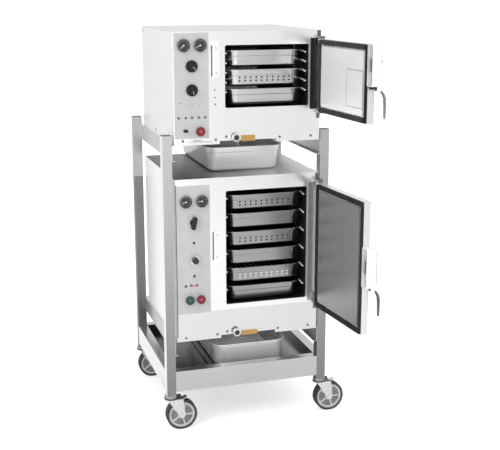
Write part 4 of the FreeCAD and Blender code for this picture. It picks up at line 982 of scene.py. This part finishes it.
# two soft lips with a groove between them, all round each door
def doorGasket(level):
    form = gasketSettings
    bottom, top = form[level]
    seal = bmesh.new()
    rings = []
    for inset, inward in form["section"]:
        slim = inset * form["slim"]  # the upright sides are narrower than the top and bottom
        near, far = (form["left"] - slim, bottom), (form["right"] + slim, top)
        ring = roundedRing(near, far, inset, form["corner"], form["least"], form["cornerSteps"])
        rings.append([seal.verts.new(onDoor(along, inward, height)) for along, height in ring])
    bridgeRings(seal, zip(rings, rings[1:] + rings[:1]))
    finish = "upperGasket" if level == "upper" else "gasket"
    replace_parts(settle(level + "_gasket_lips", seal, finish, level + "_door"), level + "_door_gasket")


# inward, below the pivot, half width and half thickness of the lever from its pivot to its tip
handleSettings = {
    "along": -0.421, "upper": 1.414, "lower": 0.678, "bulk": {"upper": 1.0, "lower": 1.25},
    "path": [
        (0.002, -0.006, 0.0085, 0.0035), (-0.008, 0.001, 0.0085, 0.004), (-0.02, 0.008, 0.0085, 0.0042),
        (-0.029, 0.018, 0.009, 0.0042), (-0.0345, 0.032, 0.009, 0.0042), (-0.036, 0.05, 0.0088, 0.004),
        (-0.0365, 0.07, 0.0082, 0.0038), (-0.0365, 0.09, 0.0074, 0.0035), (-0.0362, 0.103, 0.006, 0.003),
        (-0.036, 0.1065, 0.003, 0.0016),
    ],
    "boss": [(0, 0), (0.0055, 0), (0.0062, 0.0008), (0.0062, 0.0182), (0.0055, 0.019), (0, 0.019)],
}


def latchHandle(level):
    form = handleSettings
    lever = bmesh.new()
    path = [onDoor(form["along"], inward, form[level] - drop) for inward, drop, wide, thick in form["path"]]
    radii = [(wide, thick * form["bulk"][level]) for inward, drop, wide, thick in form["path"]]
    addWire(lever, path, radii, doorAcross, 16)
    pivot = onDoor(form["along"], -0.003, form[level])
    addTurned(lever, pivot - doorAcross * 0.0095, form["boss"], doorAcross)
    piece = settle(level + "_handle_lever", lever, level + "Handle", level + "_handle")
    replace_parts(piece, level + "_latch_handle")


latchSettings = {
    "front": -0.438, "feet": [(0.0235, 1.4205), (0.0105, 1.4205)], "web": (-0.427, 0.017, 1.4205),
    "foot": [(0, 0), (0.0042, 0), (0.0046, 0.001), (0.0046, 0.019), (0.004, 0.02), (0, 0.02)],
    "dot": (-0.0125, 1.5135), "dotForm": [(0.0028, 0), (0.0026, 0.0008), (0, 0.001)],
    "edge": (-0.0158, 0.7, 0.83),
}


# the feet below the upper latch case and the small marks on both cases
def latchDetails():
    form = latchSettings
    feet, upperMarks, lowerMarks = bmesh.new(), bmesh.new(), bmesh.new()
    for inward, height in form["feet"]:
        addTurned(feet, onDoor(form["front"] + 0.0005, inward, height), form["foot"], doorAcross, 14)
    addBar(upperMarks, onDoor(*form["web"]), (0.016, 0.008, 0.004), doorTurn)
    addTurned(upperMarks, onDoor(form["front"], *form["dot"]), form["dotForm"], -doorAcross, 12)
    inward, low, high = form["edge"]
    spot = onDoor(form["front"] - 0.0003, inward, (low + high) / 2)
    addBar(lowerMarks, spot, (0.0006, 0.0015, high - low), doorTurn, 0.3)
    settle("upper_latch_feet", feet, "gasket", "upper_door")
    settle("upper_latch_marks", upperMarks, "seam", "upper_door", False)
    settle("lower_latch_marks", lowerMarks, "seam", "lower_door", False)


plateLines = {"left": -0.378, "right": -0.259, "low": 1.343, "high": 1.476, "face": 0.0313, "width": 0.0013}


# the joint round the access plate on the upper door
def accessPlateJoint():
    form = plateLines
    joint = bmesh.new()
    width, height = form["right"] - form["left"], form["high"] - form["low"]
    along, rise = (form["left"] + form["right"]) / 2, (form["low"] + form["high"]) / 2
    for edge in (form["low"], form["high"]):
        addBar(joint, onDoor(along, form["face"], edge), (width, 0.0004, form["width"] * 1.4), doorTurn)
    for edge in (form["left"], form["right"]):
        addBar(joint, onDoor(edge, form["face"], rise), (form["width"], 0.0004, height), doorTurn)
    settle("access_plate_joint", joint, "seam", "upper_door", False)


for level in levels:
    doorGasket(level)
    latchHandle(level)
latchDetails()
accessPlateJoint()
print("door details set")


casterSettings = {
    "ribs": 5, "from": 0.013, "to": 0.051, "width": 0.0055, "face": 0.0118, "raise": 0.0035, "start": 20,
    "rim": [(0.0525, 0), (0.0525, 0.003), (0.047, 0.003), (0.0455, 0)],
}


# light ribs and a rim on both faces of each hub
def hubRibs(name):
    form = casterSettings
    ribs = bmesh.new()
    size = (form["width"], form["raise"], form["to"] - form["from"])
    for side in (-1, 1):
        face = middle(name) + Vector((0, side * form["face"], 0))
        reach = Vector((0, side * form["raise"] / 2, (form["from"] + form["to"]) / 2))
        for count in range(form["ribs"]):
            turn = Matrix.Rotation(math.radians(form["start"] + 360 * count / form["ribs"]), 3, "Y")
            addBar(ribs, face + turn @ reach, size, turn, 0.25)
        addTurned(ribs, face, form["rim"], Vector((0, side, 0)), 40)
    settle(name + "_ribs", ribs, "rib", name.replace("caster_", ""))


# the pin from the pedal's low corner, and the outline about the pin
pedalSettings = {
    "pin": 0.0045, "inset": 0.003,
    "profile": [
        (-0.005, -0.0042), (0.014, -0.0042), (0.026, 0.0006), (0.028, 0.0022), (0.0268, 0.0042),
        (0.0135, -0.0008), (-0.0042, -0.0002),
    ],
}


# a short pressed pedal, from its pin outwards
def brakePedal(name):
    low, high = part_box(name)
    pin, inset = pedalSettings["pin"], pedalSettings["inset"]
    corners = [(low.x + pin + along, low.z + pin + rise) for along, rise in pedalSettings["profile"]]
    pedal = bmesh.new()
    addPlate(pedal, corners, high.y - inset, high.y - low.y - 2 * inset)
    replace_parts(settle(name + "_plate", pedal, "plated", name.replace("brake_", "")), name)


for name in list(nodes):
    if name.startswith("caster_wheel"):
        hubRibs(name)
    elif name.startswith("brake_pedal"):
        brakePedal(name)
print("caster details set")


trimSettings = {
    "dash": (0.028, 0.162), "dashSize": (0.008, 0.0003, 0.0018),
    "marks": [(0.047, 0.152), (0.072, 0.151), (0.098, 0.15)], "markSize": (0.006, 0.0003, 0.002),
    "spots": [(0.162, 0.208), (0.163, 0.1795), (0.164, 0.154)],
    "spot": [(0.0032, 0.0001), (0.003, 0.001), (0.0015, 0.0016), (0, 0.0017)],
    "strikeSlot": (0.0075, 0.024), "edge": (0.0019, 0.33), "edgeSize": (0.0034, 0.0006, 0.62),
    "collar": [(0.0082, 0.0001), (0.0078, 0.0045), (0.0066, 0.005), (0.0059, 0.0045), (0.0059, 0.0001)],
    "sideScrews": [(0.2485, 1.5846), (0.013, 1.192)],
    "sideScrew": [(0.0045, 0.0001), (0.0045, 0.001), (0.003, 0.0022), (0, 0.0026)],
    "guide": (-0.1295, 0.014, 0.0085), "guideInset": 0.039,
}


# small marks and spots on the upper front
def frontMarks():
    form = trimSettings
    marks, spots = bmesh.new(), bmesh.new()
    addBar(marks, onFront("upper", *form["dash"], 0.0012), form["dashSize"])
    for across, rise in form["marks"]:
        addBar(marks, onFront("upper", across, rise, 0.0012), form["markSize"])
    for across, rise in form["spots"]:
        addTurned(spots, onFront("upper", across, rise), form["spot"])
    settle("overlay_marks", marks, "ink", "frame", False)
    settle("front_spots", spots, "seam", "frame")


# screws on the left side, and the bar on the tray's floor beside the lower drip pan
def sideTrim():
    form = trimSettings
    screws, guide = bmesh.new(), bmesh.new()
    for along, height in form["sideScrews"]:
        spot = Vector((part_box("upper_casing")[0].x, along, height))
        addTurned(screws, spot, form["sideScrew"], Vector((-1, 0, 0)))
    low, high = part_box("bottom_tray")
    middleX, width, height = form["guide"]
    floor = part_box("lower_drip_pan")[0].z - 0.0003
    size = (width, high.y - low.y - 2 * form["guideInset"], height)
    addBar(guide, Vector((middleX, 0, floor + height / 2)), size, chamfer=0.15)
    settle("side_screws", screws, "screw", "frame")
    settle("tray_guide", guide, "tray", "frame", False)


# painted shade as dark strips on the strike plates' left edges and along the lower front's left edge, and the
# switch's collar
def frontShades():
    form = trimSettings
    shades, collar = bmesh.new(), bmesh.new()
    width, past = form["strikeSlot"]
    for level in levels:
        (across, top), (across, bottom) = strikeScrews[level]
        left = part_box("latch_strikes")[0].x - panels[level][0].x + width / 2
        addBar(shades, onFront(level, left, (top + bottom) / 2, 0.0034), (width, 0.0006, top - bottom + past))
    addBar(shades, onFront("lower", *form["edge"], 0.0003), form["edgeSize"])
    switch = middle("upper_power_switch")
    switch.y = panels["upper"][0].y - 0.001
    addTurned(collar, switch, form["collar"])
    settle("front_shades", shades, "ink", "frame", False)
    settle("switch_collar", collar, "black", "frame")


frontMarks()
sideTrim()
frontShades()
print("trim set")


floorSettings = {"pale": (0.93, 0.93, 0.93), "worn": (0.91, 0.91, 0.91), "glow": 0.5, "reach": 40}


def paleFloor():
    material, tree, shader = startMaterial("paleFloor")
    cloud = useGroup(tree, handMarks, Scale=0.6, Contrast=0.4)
    colour = mixColours(tree, cloud, floorSettings["pale"], floorSettings["worn"])
    tree.links.new(colour, shader.inputs["Base Color"])
    shader.inputs["Roughness"].default_value = 0.9
    shader.inputs["Emission Color"].default_value = (1, 1, 1, 1)
    ray = tree.nodes.new("ShaderNodeLightPath")
    glow = mixValues(tree, ray.outputs["Is Camera Ray"], 0.0, floorSettings["glow"])
    tree.links.new(glow, shader.inputs["Emission Strength"])
    mesh = bpy.data.meshes.new("studio_floor")
    reach = floorSettings["reach"]
    corners = [(-reach, -reach, 0), (reach, -reach, 0), (reach, reach, 0), (-reach, reach, 0)]
    mesh.from_pydata(corners, [], [(0, 1, 2, 3)])
    mesh.materials.append(material)
    addObject("studio_floor", mesh)


lightSettings = [
    {"name": "keyLeft", "at": (-3.2, -2.6, 3.2), "aim": (0, 0, 0.8), "size": 2.0, "power": 55},
    {"name": "frontFill", "at": (-0.6, -3.6, 1.0), "aim": (0, 0, 0.7), "size": 1.8, "power": 16},
    {"name": "topWash", "at": (0.2, -0.6, 4.2), "aim": (0, 0, 0.8), "size": 2.4, "power": 20},
]


# the white sweep behind the object is brighter than its light
airSettings = {"light": 0.88, "sweep": 1.05}


def studioLights():
    for setting in lightSettings:
        light = bpy.data.lights.new(setting["name"], "AREA")
        light.size = setting["size"]
        light.energy = setting["power"]
        lamp = addObject(setting["name"], light)
        lamp.location = setting["at"]
        away = Vector(setting["at"]) - Vector(setting["aim"])
        lamp.rotation_euler = away.to_track_quat("Z", "Y").to_euler()
    world = bpy.data.worlds.new("studioAir")
    world.use_nodes = True
    bpy.context.scene.world = world
    bpy.context.scene.view_settings.view_transform = "Standard"
    air = world.node_tree
    backdrop = air.nodes["Background"]
    backdrop.inputs["Color"].default_value = (1, 1, 1, 1)
    ray = air.nodes.new("ShaderNodeLightPath")
    strength = mixValues(air, ray.outputs["Is Camera Ray"], airSettings["light"], airSettings["sweep"])
    air.links.new(strength, backdrop.inputs["Strength"])


cameraSettings = {"at": (-1.117, -3.974, 1.777), "pitch": 76.27, "turn": -17.11, "lens": 71.2, "sensor": 36}


def studioCamera():
    data = bpy.data.cameras.new("photoView")
    data.lens = cameraSettings["lens"]
    data.sensor_width = cameraSettings["sensor"]
    camera = addObject("photoView", data)
    camera.location = cameraSettings["at"]
    camera.rotation_euler = (math.radians(cameraSettings["pitch"]), 0, math.radians(cameraSettings["turn"]))
    bpy.context.scene.camera = camera


paleFloor()
studioLights()
studioCamera()
print("studio ready")
